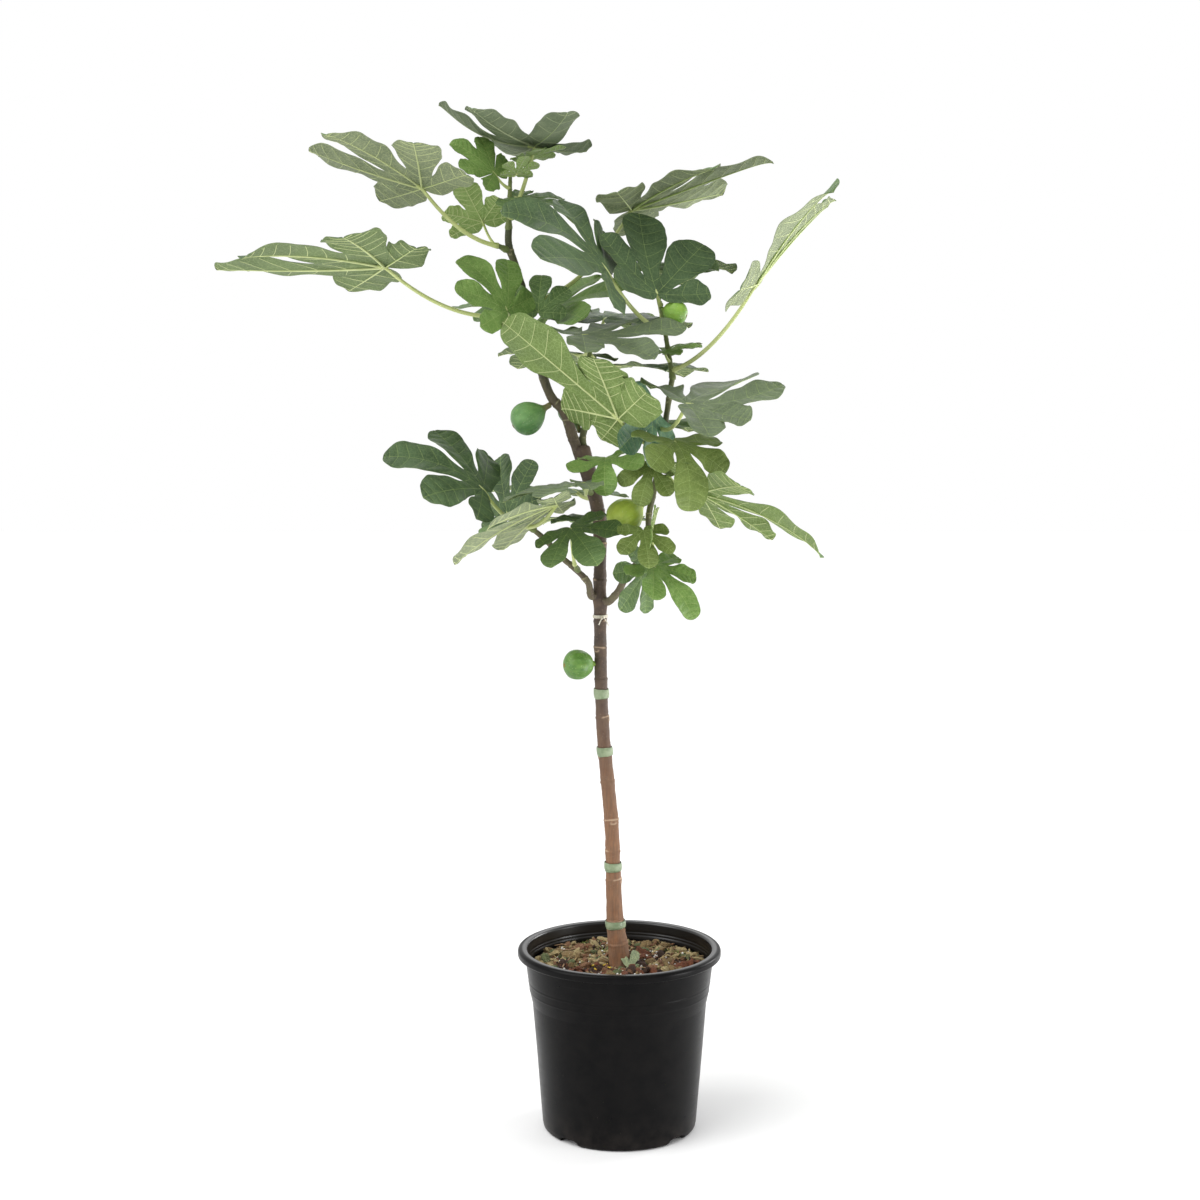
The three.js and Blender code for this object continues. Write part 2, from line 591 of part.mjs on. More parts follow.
// ---------------------------------------------------------------- building
addPiece('pot', potGeometry(), COLOURS.pot, 0.4);
addPiece('soil', soilGeometry(), COLOURS.soil, 0.95);

// The foot of a stem, bough or fig on a limb: just clear of the bark, or of the face at the tip.
// A foot that leans needs more room, as the edge of its end face reaches further.
function footOn(limb, at, direction, footRadius) {
  const { point, along, radius } = alongLimb(limb, at);
  const out = at === 1 ? along : direction.clone().projectOnPlane(along).normalize();
  const lean = Math.sqrt(Math.max(0, 1 - direction.dot(out) ** 2));
  return point.clone().addScaledVector(out, (at === 1 ? 0 : radius) + GAP + footRadius * lean);
}

const limbs = {};

// The first two points of a bough, on its parent.
function boughStart({ root, radii }) {
  const parent = limbs[root.on];
  if (root.beside) {
    const { point, along } = alongLimb(parent, 1);
    const right = new THREE.Vector3(1, 0, 0).projectOnPlane(along).normalize();
    const back = new THREE.Vector3(0, 1, 0).projectOnPlane(along).normalize();
    const start = point.clone().addScaledVector(along, GAP)
      .addScaledVector(right, root.beside[0])
      .addScaledVector(back, root.beside[1]);
    return [start, start.clone().addScaledVector(along, root.stub)];
  }
  const direction = aim(root.heading, 0);
  const start = footOn(parent, root.at, direction, radii[0]);
  return [start, start.clone().addScaledVector(direction, root.stub)];
}

for (const [name, limb] of Object.entries(LIMBS)) {
  const points = [...(limb.root ? boughStart(limb) : []), ...limb.points.map(vec)];
  const geometry = limbGeometry(points, limb.radii, limb);
  limbs[name] = { points, radii: limb.radii, solid: toSolid(geometry) };
  addPiece(name, geometry, limb.color, 0.85);
}

for (const [name, mass] of Object.entries(MASSES)) {
  const [heading, rise, length, radius, tipRadius] = mass.stem;
  const direction = aim(heading, rise);
  const foot = footOn(limbs[mass.on], mass.at, direction, radius);
  const end = foot.clone().addScaledVector(direction, length);
  let solid = toSolid(limbGeometry([foot, end], [radius, tipRadius], { sides: 6, steps: 1 }));
  for (const leaf of mass.leaves) {
    const start = foot.clone().lerp(end, Math.min(leaf.at, 0.97));
    const grown = leafSolid(start, leaf);
    const touches = Object.values(limbs).some((other) => other.solid.intersect(grown).volume() > 0);
    if (!touches) solid = solid.add(grown);
  }
  for (const fig of mass.figs ?? []) {
    const start = foot.clone().lerp(end, fig.at);
    solid = solid.add(toSolid(figGeometry(start, fig)));
  }
  // where two leaves of one mass cross, they can shut in a sliver of air, which is filled
  const [whole] = solid.decompose().sort((a, b) => b.volume() - a.volume());
  addPiece(name, toGeometry(whole), COLOURS.leaf, 0.6);
}

for (const [name, fig] of Object.entries(FIGS)) {
  const foot = footOn(limbs[fig.on], fig.at, aim(fig.heading, fig.rise), FIG_NECK * fig.radius);
  addPiece(name, figGeometry(foot, fig), COLOURS.fig, 0.45);
}

for (const { name, at, width } of [...TAPES, STRING]) {
  const { point, along, radius } = alongLimb(limbs.trunk, at);
  const inner = radius + 1;
  const outer = inner + 1.2;
  const ring = turned([[inner, -width / 2], [outer, -width / 2], [outer, width / 2], [inner, width / 2],
    [inner, -width / 2]], 12);
  ring.applyQuaternion(new THREE.Quaternion().setFromUnitVectors(new THREE.Vector3(0, 0, 1), along));
  ring.translate(point.x, point.y, point.z);
  addPiece(name, ring, name === STRING.name ? COLOURS.string : COLOURS.tape, 0.7);
}

export default group;
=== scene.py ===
import math

import bpy
import numpy as np
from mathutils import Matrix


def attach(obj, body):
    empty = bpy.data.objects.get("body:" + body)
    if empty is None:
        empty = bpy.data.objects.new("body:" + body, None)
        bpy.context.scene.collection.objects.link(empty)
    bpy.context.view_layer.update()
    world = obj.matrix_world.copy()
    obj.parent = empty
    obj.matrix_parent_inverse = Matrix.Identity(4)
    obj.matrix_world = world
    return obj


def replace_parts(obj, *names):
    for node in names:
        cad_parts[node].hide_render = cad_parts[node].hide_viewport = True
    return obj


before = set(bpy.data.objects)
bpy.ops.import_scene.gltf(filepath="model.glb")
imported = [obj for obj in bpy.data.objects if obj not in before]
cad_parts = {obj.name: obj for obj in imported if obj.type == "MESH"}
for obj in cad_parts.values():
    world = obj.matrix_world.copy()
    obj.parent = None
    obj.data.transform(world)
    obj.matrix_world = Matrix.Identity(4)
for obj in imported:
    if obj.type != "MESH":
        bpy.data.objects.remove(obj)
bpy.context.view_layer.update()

MM = 0.001
BODY = "root"
MARKS = "scar"            # the mesh attribute that holds how pale the bark is

# ---------------------------------------------------------------- driving sizes
POT_HEIGHT = 254
RIM_RADIUS = 140
RIM_DEPTH = 11
COLLAR_RADIUS = 130
COLLAR_FOOT = 196
COLLAR_FOOT_RADIUS = 124
SHOULDER_FOOT = 178
SHOULDER_RADIUS = 120
BASE_RADIUS = 106
CORNER_RADIUS = 6
POT_WALL = 3
POT_FLOOR = 6
DRAIN = {"count": 4, "first": -132, "width": 34, "height": 8, "depth": 16}

SOIL_LEVEL = 230
GAP = 0.3                 # between a part and the one that it stands on

STALK_RADIUS = 3.0
STALK_TIP_RADIUS = 2.2
STALK_SAG = 0.24          # how far a stalk bows down, as a share of its reach
LARGE_BLADE = 150         # a blade from this length up has a stalk of full thickness

# A lobe's row: its angle, its length, half its width, its pairs of side veins, and how blunt its tip is.
LOBES = [(-92, 0.58, 0.17, 4, 2.1), (-44, 0.84, 0.21, 7, 2.5), (0, 1.0, 0.235, 8, 2.6),
         (44, 0.84, 0.21, 7, 2.5), (92, 0.58, 0.17, 4, 2.1)]
LOBE_WIDEST = 0.72        # where a lobe is widest, as a share of its length
LOBE_FOLD = 0.035         # how far the sides of a lobe fold up, as a share of the blade
HEEL_ANGLE = 52           # from the rib of an outer lobe to the heel behind it
HEEL_RADIUS = 0.55        # how far out a heel lies, as a multiple of the cut

# ---------------------------------------------------------------- the plan of the tree
LIMBS = {
    "trunk": {
        "points": [(1, -8, SOIL_LEVEL + GAP), (-6, -7, 291), (-9, -6, 364), (-11, -4, 427), (-17, -3, 491),
                   (-23, -1, 560), (-26, 0, 640), (-27, 1, 736), (-29, 3, 851), (-40, 4, 898),
                   (-52, 5, 938)],
        "radii": [15.5, 11.5, 10.2, 9.8, 9.4, 8.8, 8.4, 8.6, 8.8, 9.4, 12.5],
    },
    "leader_bough": {
        "root": {"on": "trunk", "beside": (-5.5, -2), "stub": 12},
        "points": [(-75, -1, 988), (-92, -3, 1009), (-100, -5, 1028), (-112, -9, 1071), (-122, -12, 1108),
                   (-129, -15, 1150), (-139, -17, 1183), (-147, -18, 1209), (-147, -18, 1231)],
        "radii": [7, 6.4, 6.0, 5.6, 5.3, 5.0, 4.8],
    },
    "middle_bough": {
        "root": {"on": "trunk", "beside": (5, 5.5), "stub": 12},
        "points": [(-47, 14, 971), (-49, 18, 1011), (-43, 22, 1051)],
        "radii": [4.8, 4.3, 4.0],
    },
    "right_bough": {
        "root": {"on": "trunk", "at": 0.71, "heading": 320, "stub": 6},
        "points": [(-3, -18, 749), (9, -24, 772), (26, -28, 793), (36, -31, 813), (38, -35, 854),
                   (46, -39, 894), (54, -42, 939), (61, -43, 989), (68, -42, 1035)],
        "radii": [5.2, 4.6, 4.3, 4.1, 4.0, 3.8],
    },
    "left_bough": {
        "root": {"on": "trunk", "at": 0.72, "heading": 215, "stub": 5},
        "points": [(-43, -16, 761), (-62, -22, 782), (-80, -28, 798), (-98, -34, 819), (-115, -38, 834)],
        "radii": [4.8, 4.2, 3.8, 3.6],
    },
}

# What a blade has unless its row says otherwise.
PLAIN_BLADE = dict(cup=0.1, twist=0, splay=1, lobes=(1, 1, 1, 1, 1), cut=0.32, wide=1)


def leaf(stalk, attitude, size, tone, under="under", **own):
    """A leaf's row. stalk: its place on the stem, its heading, rise and reach. attitude: the blade's
    facing, pitch and roll. size: the blade's length, and how far it bends down, in degrees. tone and
    under name the colours of its two faces."""
    names = ("at", "heading", "rise", "reach", "face", "pitch", "roll", "blade", "droop")
    told = dict(zip(names, (*stalk, *attitude, *size)))
    return {**PLAIN_BLADE, **told, "tone": tone, "under": under, **own}


# Each mass of leaves grows on one stem, whose numbers are its heading, rise, length, radius and tip
# radius. `on` and `at` say where it springs from.
MASSES = {
    "top_leaves": dict(on="leader_bough", at=1, stem=(60, 86, 72, 4.0, 2.2), leaves=[
        leaf((0.15, 355, 70, 100), (171, 0, 10), (160, -55), "mid", "dusk", cup=-0.1, splay=1.35,
             lobes=(1.1, 1, 0.9, 0.95, 1.2), cut=0.36),
        leaf((0.5, 325, 15, 10), (345, -5, 15), (85, 20), "mid"),
        leaf((0.7, 210, 40, 30), (200, 45, -50), (70, 30), "bright", cup=-0.05, cut=0.6),
        leaf((0.95, 10, 50, 25), (350, 20, -5), (60, 10), "bright", "lit"),
        leaf((1, 290, -5, 25), (295, 35, 0), (40, 10), "bright", "lit"),
    ]),
    "upper_left_leaves": dict(on="leader_bough", at=0.915, stem=(215, 20, 12, 3.6, 3.2), leaves=[
        leaf((1, 200, 35, 125), (220, 30, 10), (160, 15), "mid", "silver", cup=-0.1, twist=-10,
             lobes=(1, 1.15, 1, 0.9, 0.9)),
        leaf((0.7, 115, 30, 70), (250, 35, 20), (75, 0), "fresh", "lit", cup=0.2,
             lobes=(1.1, 0.95, 1.1, 0.85, 1), cut=0.5),
    ]),
    "left_leaves": dict(on="leader_bough", at=0.62, stem=(200, 10, 14, 3.6, 3.2), leaves=[
        leaf((1, 195, 20, 180), (210, 10, 15), (210, 15), "dark", cup=-0.05, twist=-10,
             lobes=(1, 1.3, 0.95, 0.85, 0.7), cut=0.42),
        leaf((0.8, 265, 5, 75), (195, 65, -55), (95, 50), "bright", cup=0),
    ]),
    "inner_right_leaves": dict(on="leader_bough", at=0.67, stem=(20, 25, 12, 3.6, 3.2), leaves=[
        leaf((0.9, 30, 40, 190), (355, 20, -10), (200, 0), "mid", "silver", cup=0.05, twist=10),
        leaf((0.8, 275, -20, 45), (85, 60, 0), (65, 20), "mid"),
        leaf((1, 60, -30, 30), (335, 25, 30), (115, 20), "bright", "lit", lobes=(0.6, 1, 1, 1, 1)),
        leaf((0.7, 95, -10, 65), (110, 20, -5), (145, 30), "mid"),
    ]),
    "centre_leaves": dict(on="middle_bough", at=1, stem=(55, 75, 42, 3.6, 2.6), leaves=[
        leaf((1, 265, 0, 145), (15, 0, 10), (145, -10), "grey", cup=0.2, twist=10, splay=1.1,
             lobes=(1, 0.9, 0.95, 1.1, 0.8)),
        leaf((0.95, 75, 20, 65), (70, 15, 5), (160, 40), "dark"),
        leaf((0.5, 115, -5, 55), (130, 5, 5), (125, 30), "mid"),
        leaf((0.3, 40, -15, 50), (50, 0, 0), (150, 10), "dark"),
    ]),
    "right_top_leaves": dict(on="right_bough", at=1, stem=(160, 80, 100, 3.6, 2.4), leaves=[
        leaf((0.08, 10, 45, 160), (345, 55, 6), (215, 20), "mid", "silver", cup=-0.05,
             lobes=(1.1, 1.25, 0.7, 1, 1)),
        leaf((0.2, 240, 40, 20), (35, 20, 0), (60, 20), "bright"),
        leaf((0.6, 215, 40, 125), (220, 45, -45), (170, 50), "dark", cup=-0.05,
             lobes=(1.1, 0.8, 0.95, 1.15, 1), cut=0.27),
        leaf((0.8, 95, 40, 105), (75, 15, 0), (150, 45), "mid"),
        leaf((0.95, 245, 50, 20), (110, 45, 10), (125, -20), "dark", cup=-0.4,
             lobes=(1, 1.1, 1.05, 1, 1), cut=0.27, wide=1.15),
    ]),
    "right_upper_leaves": dict(on="right_bough", at=0.8, stem=(200, 15, 12, 3.4, 3.0), leaves=[
        leaf((0.4, 285, 15, 130), (25, -5, 20), (170, -40), "grey", cup=0.25, twist=-10,
             lobes=(0.85, 0.6, 0.8, 1.25, 1), cut=0.25),
        leaf((1, 266, 35, 25), (230, -30, -75), (85, -10), "blue"),
        leaf((0.8, 90, 0, 65), (60, 10, 0), (105, 35), "mid"),
    ]),
    "right_front_leaves": dict(on="right_bough", at=0.72, stem=(270, 15, 12, 3.4, 3.0), leaves=[
        leaf((1, 225, 25, 90), (180, 40, 35), (175, 0), "mid", "pale", lobes=(0.6, 0.6, 1.1, 0.7, 0.9),
             cut=0.42, wide=1.2),
        leaf((0.8, 285, 10, 55), (295, -20, -5), (105, 75), "olive", cup=-0.1,
             lobes=(1, 0.9, 1.05, 0.9, 1.15)),
    ]),
    "right_middle_leaves": dict(on="right_bough", at=0.6, stem=(320, 10, 12, 3.4, 3.0), leaves=[
        leaf((1, 345, -25, 50), (330, -10, -30), (175, 20), "mid", "pale",
             lobes=(1, 0.95, 1.15, 0.8, 1), cut=0.25, wide=0.85),
        leaf((0.7, 235, 25, 35), (250, -35, -15), (60, 50), "olive"),
    ]),
    "right_low_leaves": dict(on="right_bough", at=0.33, stem=(290, 15, 12, 3.4, 3.0), leaves=[
        leaf((1, 270, -40, 45), (320, -25, 10), (85, 40), "bright", cup=0,
             lobes=(1, 0.95, 1.1, 0.85, 1)),
        leaf((0.8, 245, -60, 40), (230, -45, -85), (70, 5), "mid"),
        leaf((0.9, 265, 0, 40), (285, 60, 70), (60, -5), "bright", "pale"),
        leaf((0.6, 258, 20, 60), (280, -40, 0), (60, 15), "olive"),
    ]),
    "trunk_front_leaves": dict(on="trunk", at=0.92, stem=(240, 20, 14, 3.4, 3.0), leaves=[
        leaf((1, 310, 45, 60), (265, -15, 10), (70, 40), "bright", cup=-0.25, twist=-10, splay=1.2,
             lobes=(1, 1, 1.1, 1.1, 0.8)),
        leaf((0.8, 270, 10, 85), (185, -5, 0), (110, 15), "grey"),
    ]),
    "trunk_back_leaves": dict(on="trunk", at=0.9, stem=(100, 15, 14, 3.4, 3.0), leaves=[
        leaf((0.9, 130, 10, 40), (125, 5, 5), (145, 30), "mid"),
        leaf((1, 80, -40, 50), (100, 5, 0), (115, 30), "dark"),
    ]),
    "left_shoot_leaves": dict(on="left_bough", at=1, stem=(190, 25, 20, 3.4, 2.6), leaves=[
        leaf((1, 215, 40, 75), (205, 40, -40), (135, 50), "dark", lobes=(1.15, 1, 1.05, 0.95, 0.8),
             cut=0.27),
        leaf((0.8, 155, 30, 25), (110, 55, -60), (95, 10), "dark", cup=0.2),
        leaf((0.5, 305, 25, 80), (180, -20, 15), (155, 20), "mid", "silver", lobes=(0.6, 1, 1, 1, 0.6)),
    ]),
    "left_low_leaves": dict(on="left_bough", at=0.4, stem=(250, 35, 12, 3.2, 2.8), leaves=[
        leaf((1, 260, 60, 60), (290, -15, 25), (90, 25), "mid", cup=0.15),
    ]),
}

# A fig's row: what it stands on and where, its heading, rise, radius and reach, and its skin. It stands
# on a limb, but the top fig stands on the stem of a mass of leaves.
FIGS = {
    "leader_fig": ("leader_bough", 0.24, 188, -30, 22.5, 36, "green"),
    "trunk_fig": ("trunk", 0.59, 200, 0, 20.5, 24, "leafy"),
    "fork_fig": ("middle_bough", 0.2, 116, 50, 20, 36, "shade"),
    "shoot_fig": ("right_bough", 0.5, 208, -30, 24, 40, "yellow"),
    "top_fig": ("right_top_leaves", 0.9, 345, -15, 16, 20, "lime"),
}

# Where each tape and the string lie on the trunk, and how wide a tape is.
TAPES = {"tape_low": (0.082, 12), "tape_second": (0.195, 14), "tape_third": (0.42, 14),
         "tape_top": (0.532, 15)}
STRING_PLACE = 0.68


# ---------------------------------------------------------------- numbers and directions
def unit(vectors):
    """Vectors scaled to length 1, along their last axis."""
    vectors = np.asarray(vectors, float)
    return vectors / np.maximum(np.linalg.norm(vectors, axis=-1, keepdims=True), 1e-12)


def aim(heading, rise):
    """The direction at a heading and a rise: (cos rise cos heading, cos rise sin heading, sin rise)."""
    h, r = math.radians(heading), math.radians(rise)
    return np.array([math.cos(r) * math.cos(h), math.cos(r) * math.sin(h), math.sin(r)])


def smoothstep(value, low, high):
    """0 below low, 1 above high, and t t (3 - 2 t) between them."""
    t = np.clip((np.asarray(value, float) - low) / (high - low), 0, 1)
    return t * t * (3 - 2 * t)


def bell(value, middle, width):
    """exp(-((value - middle) / width) squared)."""
    return np.exp(-(((np.asarray(value, float) - middle) / width) ** 2))


def apart(angle, other):
    """How far one angle lies from another, within half a turn either way."""
    return (angle - other + np.pi) % (2 * np.pi) - np.pi


def circle(sides):
    """Angles evenly spaced round a whole turn."""
    return 2 * np.pi * np.arange(sides) / sides


def gaps_along(line):
    """The distance from each point of a line to the next."""
    return np.linalg.norm(np.diff(line, axis=0), axis=1)


# Large odd numbers that scatter the keys of neighbouring lattice corners.
HASH_AXES = np.array([73856093, 19349663, 83492791])
HASH_SEED = 6542989
HASH_STIRS = ((13, 1274126177), (15, 668265263))


def lattice_noise(points, size, seed):
    """Smooth noise from -1 to 1. Each corner of a cubic lattice of the given size holds a hashed
    value, and a point takes the eight round it, each weighed by smoothstep along all three axes."""
    place = np.asarray(points, float) / size
    low = np.floor(place).astype(np.int64)
    part = place - low
    part = part * part * (3 - 2 * part)
    total = np.zeros(place.shape[:-1])
    for corner in np.ndindex(2, 2, 2):
        cell = low + np.array(corner)
        key = np.bitwise_xor.reduce(cell * HASH_AXES, axis=-1) ^ (seed * HASH_SEED + 17)
        for shift, factor in HASH_STIRS:
            key = (key ^ (key >> shift)) * factor & 0x7FFFFFFF
        weight = np.prod(np.where(np.array(corner) == 1, part, 1 - part), axis=-1)
        total += weight * (key / 0x3FFFFFFF - 1)
    return total


def resample(line, count):
    """The same line with its points evenly spaced along its length."""
    reach = np.concatenate([[0], np.cumsum(gaps_along(line))])
    at = np.linspace(0, reach[-1], count)
    return np.stack([np.interp(at, reach, line[:, k]) for k in range(line.shape[1])], axis=1)


SPAN_STEPS = 24           # points on each span of a smooth line, before they are spaced evenly


def smooth_line(points, count):
    """A centripetal Catmull-Rom curve, evenly spaced: a cubic for each span, whose end slopes weigh the
    neighbouring points by the square roots of the distances between them."""
    inner = np.asarray(points, float)
    p = np.vstack([2 * inner[0] - inner[1], inner, 2 * inner[-1] - inner[-2]])
    gaps = gaps_along(p) ** 0.5
    t = np.linspace(0, 1, SPAN_STEPS, endpoint=False)[:, None]
    spans = []
    for i in range(1, len(p) - 2):
        before, here, after = gaps[i - 1 : i + 2]
        a, b = p[i], p[i + 1]
        leave = here * ((a - p[i - 1]) / before - (b - p[i - 1]) / (before + here) + (b - a) / here)
        arrive = here * ((b - a) / here - (p[i + 2] - a) / (here + after) + (p[i + 2] - b) / after)
        spans.append(a + leave * t + (3 * (b - a) - 2 * leave - arrive) * t**2
                     + (2 * (a - b) + leave + arrive) * t**3)
    return resample(np.vstack([*spans, inner[-1:]]), count)


# ---------------------------------------------------------------- patches of surface
# A patch is its points, its faces of four corners (a triangle repeats its last corner), a material
# number for each face, and a place in the unit square for each corner of each face.
def patch(points, faces, slots, uv):
    slots = np.broadcast_to(np.asarray(slots, int), (len(faces),))
    return {"points": points, "faces": faces, "slots": slots, "uv": uv}


def tiled(count):
    """A square of tiles with room for `count`: how many stand side by side, and the corner of each."""
    side = math.ceil(math.sqrt(count))
    number = np.arange(count)
    return side, np.stack([number % side, number // side], axis=-1) / side


def join(patches):
    """Several patches as one. Each one's unit square becomes a tile in a square of tiles."""
    side, tiles = tiled(len(patches))
    start = np.cumsum([0] + [len(p["points"]) for p in patches[:-1]])
    return patch(
        np.vstack([p["points"] for p in patches]),
        np.vstack([p["faces"] + s for p, s in zip(patches, start)]),
        np.concatenate([p["slots"] for p in patches]),
        np.vstack([tile + (0.02 + 0.96 * p["uv"]) / side for p, tile in zip(patches, tiles)]),
    )


def weave(rows, columns, close_rows=False, close_columns=True):
    """Faces and unit-square places of a grid of points, row by row. A closed way joins its end to its
    start."""
    spans, gaps = rows - (not close_rows), columns - (not close_columns)
    i, j = [a.ravel() for a in np.meshgrid(np.arange(spans), np.arange(gaps), indexing="ij")]
    corners = ((i, j), (i, j + 1), (i + 1, j + 1), (i + 1, j))
    faces = np.stack([r % rows * columns + c % columns for r, c in corners], axis=1)
    return faces, np.stack([np.stack([r / spans, c / gaps], axis=1) for r, c in corners], axis=1)


def rings(count, sides):
    """The same for `count` rings of `sides` points, closed by a foot point and a tip point."""
    walls, wall_uv = weave(count, sides)
    j, last = np.arange(sides), (count - 1) * sides
    after = (j + 1) % sides
    foot, tip = np.full(sides, count * sides), np.full(sides, count * sides + 1)
    caps = [np.stack([foot, after, j, j], 1), np.stack([tip, last + j, last + after, last + after], 1)]
    ends = ((0.0, (j + 0.5, j + 1, j, j)), (1.0, (j + 0.5, j, j + 1, j + 1)))
    cap_uv = [np.stack([np.full((sides, 4), end), np.stack(across, 1) / sides], axis=-1)
              for end, across in ends]
    return np.vstack([walls, *caps]), np.vstack([wall_uv, *cap_uv])


def tube(line, radii, sides, up=None, slots=(0, 0)):
    """A closed round section carried along a line: point = centre + radius (across cos a + other sin a).
    The faces on the side of `up` take the first slot, and the rest take the second."""
    line = np.asarray(line, float)
    along = unit(np.gradient(line, axis=0))
    if up is None:
        up = np.eye(3)[np.argmin(np.abs(line[-1] - line[0]))]
    across = unit(up - np.sum(along * up, axis=-1, keepdims=True) * along)
    other = np.cross(along, across)
    radii = np.asarray(radii, float)
    radii = radii[:, None] if radii.ndim == 1 else radii
    angle = circle(sides)[None, :, None]
    spoke = across[:, None] * np.cos(angle) + other[:, None] * np.sin(angle)
    ring = line[:, None] + np.broadcast_to(radii, (len(line), sides))[..., None] * spoke
    faces, uv = rings(len(line), sides)
    facing = np.cos(2 * np.pi * (np.arange(len(faces)) % sides + 0.5) / sides)
    return patch(np.vstack([ring.reshape(-1, 3), line[:1], line[-1:]]), faces,
                 np.where(facing > 0, slots[0], slots[1]), uv)


def turned(profile, sides, change=None):
    """A closed solid of revolution about +Z: point = (r cos a, r sin a, z), for pairs of radius and height
    that start and end on the axis. change(r, z, a) may give each point another radius and height."""
    profile = np.asarray(profile, float)
    r, a = np.meshgrid(profile[1:-1, 0], circle(sides), indexing="ij")
    z = np.broadcast_to(profile[1:-1, 1:2], r.shape)
    if change is not None:
        r, z = change(r, z, a)
    ring = np.stack([r * np.cos(a), r * np.sin(a), z], axis=-1).reshape(-1, 3)
    poles = np.array([[0, 0, profile[0, 1]], [0, 0, profile[-1, 1]]])
    faces, uv = rings(len(profile) - 2, sides)
    return patch(np.vstack([ring, poles]), faces, 0, uv)


def hoop(section_r, section_z, sides, centre, axis):
    """A closed band round an axis: a section whose radius and height, given for each angle, close on
    themselves: point = centre + r (across cos a + other sin a) + z axis."""
    across = unit(np.array([1.0, 0, 0]) - axis[0] * axis)
    angle = circle(sides)[:, None]
    spoke = across * np.cos(angle) + np.cross(axis, across) * np.sin(angle)
    points = centre + section_r[..., None] * spoke[None] + section_z[..., None] * axis
    faces, uv = weave(len(section_r), sides, close_rows=True)
    return patch(points.reshape(-1, 3), faces, 0, uv)


def moved(piece, turn, shift):
    """A patch turned by a matrix and then shifted."""
    return {**piece, "points": piece["points"] @ np.asarray(turn).T + np.asarray(shift)}


def turn_to(axis):
    """A matrix whose third column is the given direction, with two directions across it before it."""
    axis = unit(axis)
    least = np.argmin(np.abs(axis))
    across = unit(np.eye(3)[least] - axis[least] * axis)
    return np.stack([across, np.cross(axis, across), axis], axis=1)


def put_object(name, data, place=(0, 0, 0), turn=(0, 0, 0)):
    """An object with its data, placed, turned and linked to the scene."""
    made = bpy.data.objects.new(name, data)
    made.location, made.rotation_euler = place, turn
    bpy.context.scene.collection.objects.link(made)
    return made


def make_piece(name, piece, materials, sharp=None):
    """Puts a patch into a mesh, in metres, with its faces smooth and its map kept, and lets it ride."""
    faces = piece["faces"]
    three = faces[:, 2] == faces[:, 3]
    quads, triangles = faces[~three], faces[three][:, :3]
    loops = np.concatenate([quads.ravel(), triangles.ravel()]).astype(np.int32)
    starts = np.concatenate([np.arange(len(quads)) * 4, len(quads) * 4 + np.arange(len(triangles)) * 3])
    order = np.concatenate([np.flatnonzero(~three), np.flatnonzero(three)])
    mesh = bpy.data.meshes.new(name)
    mesh.vertices.add(len(piece["points"]))
    mesh.vertices.foreach_set("co", (piece["points"] * MM).astype(np.float32).ravel())
    mesh.loops.add(len(loops))
    mesh.loops.foreach_set("vertex_index", loops)
    mesh.polygons.add(len(faces))
    mesh.polygons.foreach_set("loop_start", starts.astype(np.int32))
    mesh.polygons.foreach_set("material_index", piece["slots"][order].astype(np.int32))
    mesh.polygons.foreach_set("use_smooth", np.ones(len(faces), bool))
    mesh.update(calc_edges=True)
    mesh.validate()
    if len(mesh.loops) == len(loops):
        uv = piece["uv"]
        corners = np.concatenate([uv[~three].reshape(-1, 2), uv[three][:, :3].reshape(-1, 2)])
        mesh.uv_layers.new(name="OFBake").data.foreach_set("uv", corners.astype(np.float32).ravel())
    if "marks" in piece:
        marks = mesh.attributes.new(MARKS, "FLOAT", "POINT")
        marks.data.foreach_set("value", piece["marks"].astype(np.float32))
    if sharp is not None:
        mesh.set_sharp_from_angle(angle=math.radians(sharp))
    for material in materials:
        mesh.materials.append(material)
    made = put_object(name, mesh)
    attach(made, BODY)
    return made


# ---------------------------------------------------------------- shader tools
class Pattern:
    """A node tree, the place its patterns read, and the nodes they are made of."""

    def __init__(self, tree, place=None):
        self.tree, self.place = tree, place

    def node(self, kind, inputs=None, **settings):
        """The outputs of a node with its settings, and with each input linked to a socket or set."""
        made = self.tree.nodes.new("ShaderNode" + kind)
        for key, value in settings.items():
            setattr(made, key, value)
        for key, value in (inputs or {}).items():
            if isinstance(value, bpy.types.NodeSocket):
                self.tree.links.new(value, made.inputs[key])
            else:
                made.inputs[key].default_value = value
        return made.outputs

    def stretched(self, scale):
        """The place scaled apart along the three axes."""
        return self.node("Mapping", {"Vector": self.place, "Scale": scale})[0]

    def height(self):
        """The height of each place, in metres."""
        return self.node("SeparateXYZ", {"Vector": self.place})["Z"]

    def use(self, group, **inputs):
        """One of the shared effects."""
        return self.node("Group", {"Vector": self.place, **inputs}, node_tree=group)

    def mix(self, share, first, second):
        """Two colours mixed by a share."""
        return self.node("Mix", {0: share, 6: first, 7: second}, data_type="RGBA")[2]

    def maths(self, operation, first, second):
        """Two values put together."""
        return self.node("Math", {0: first, 1: second}, operation=operation)[0]

    def spread(self, value, low, high, to_low=0.0, to_high=1.0):
        """A value carried from one range to another, smoothly."""
        ranges = {"From Min": low, "From Max": high, "To Min": to_low, "To Max": to_high}
        return self.node("MapRange", {"Value": value, **ranges}, interpolation_type="SMOOTHSTEP")["Result"]


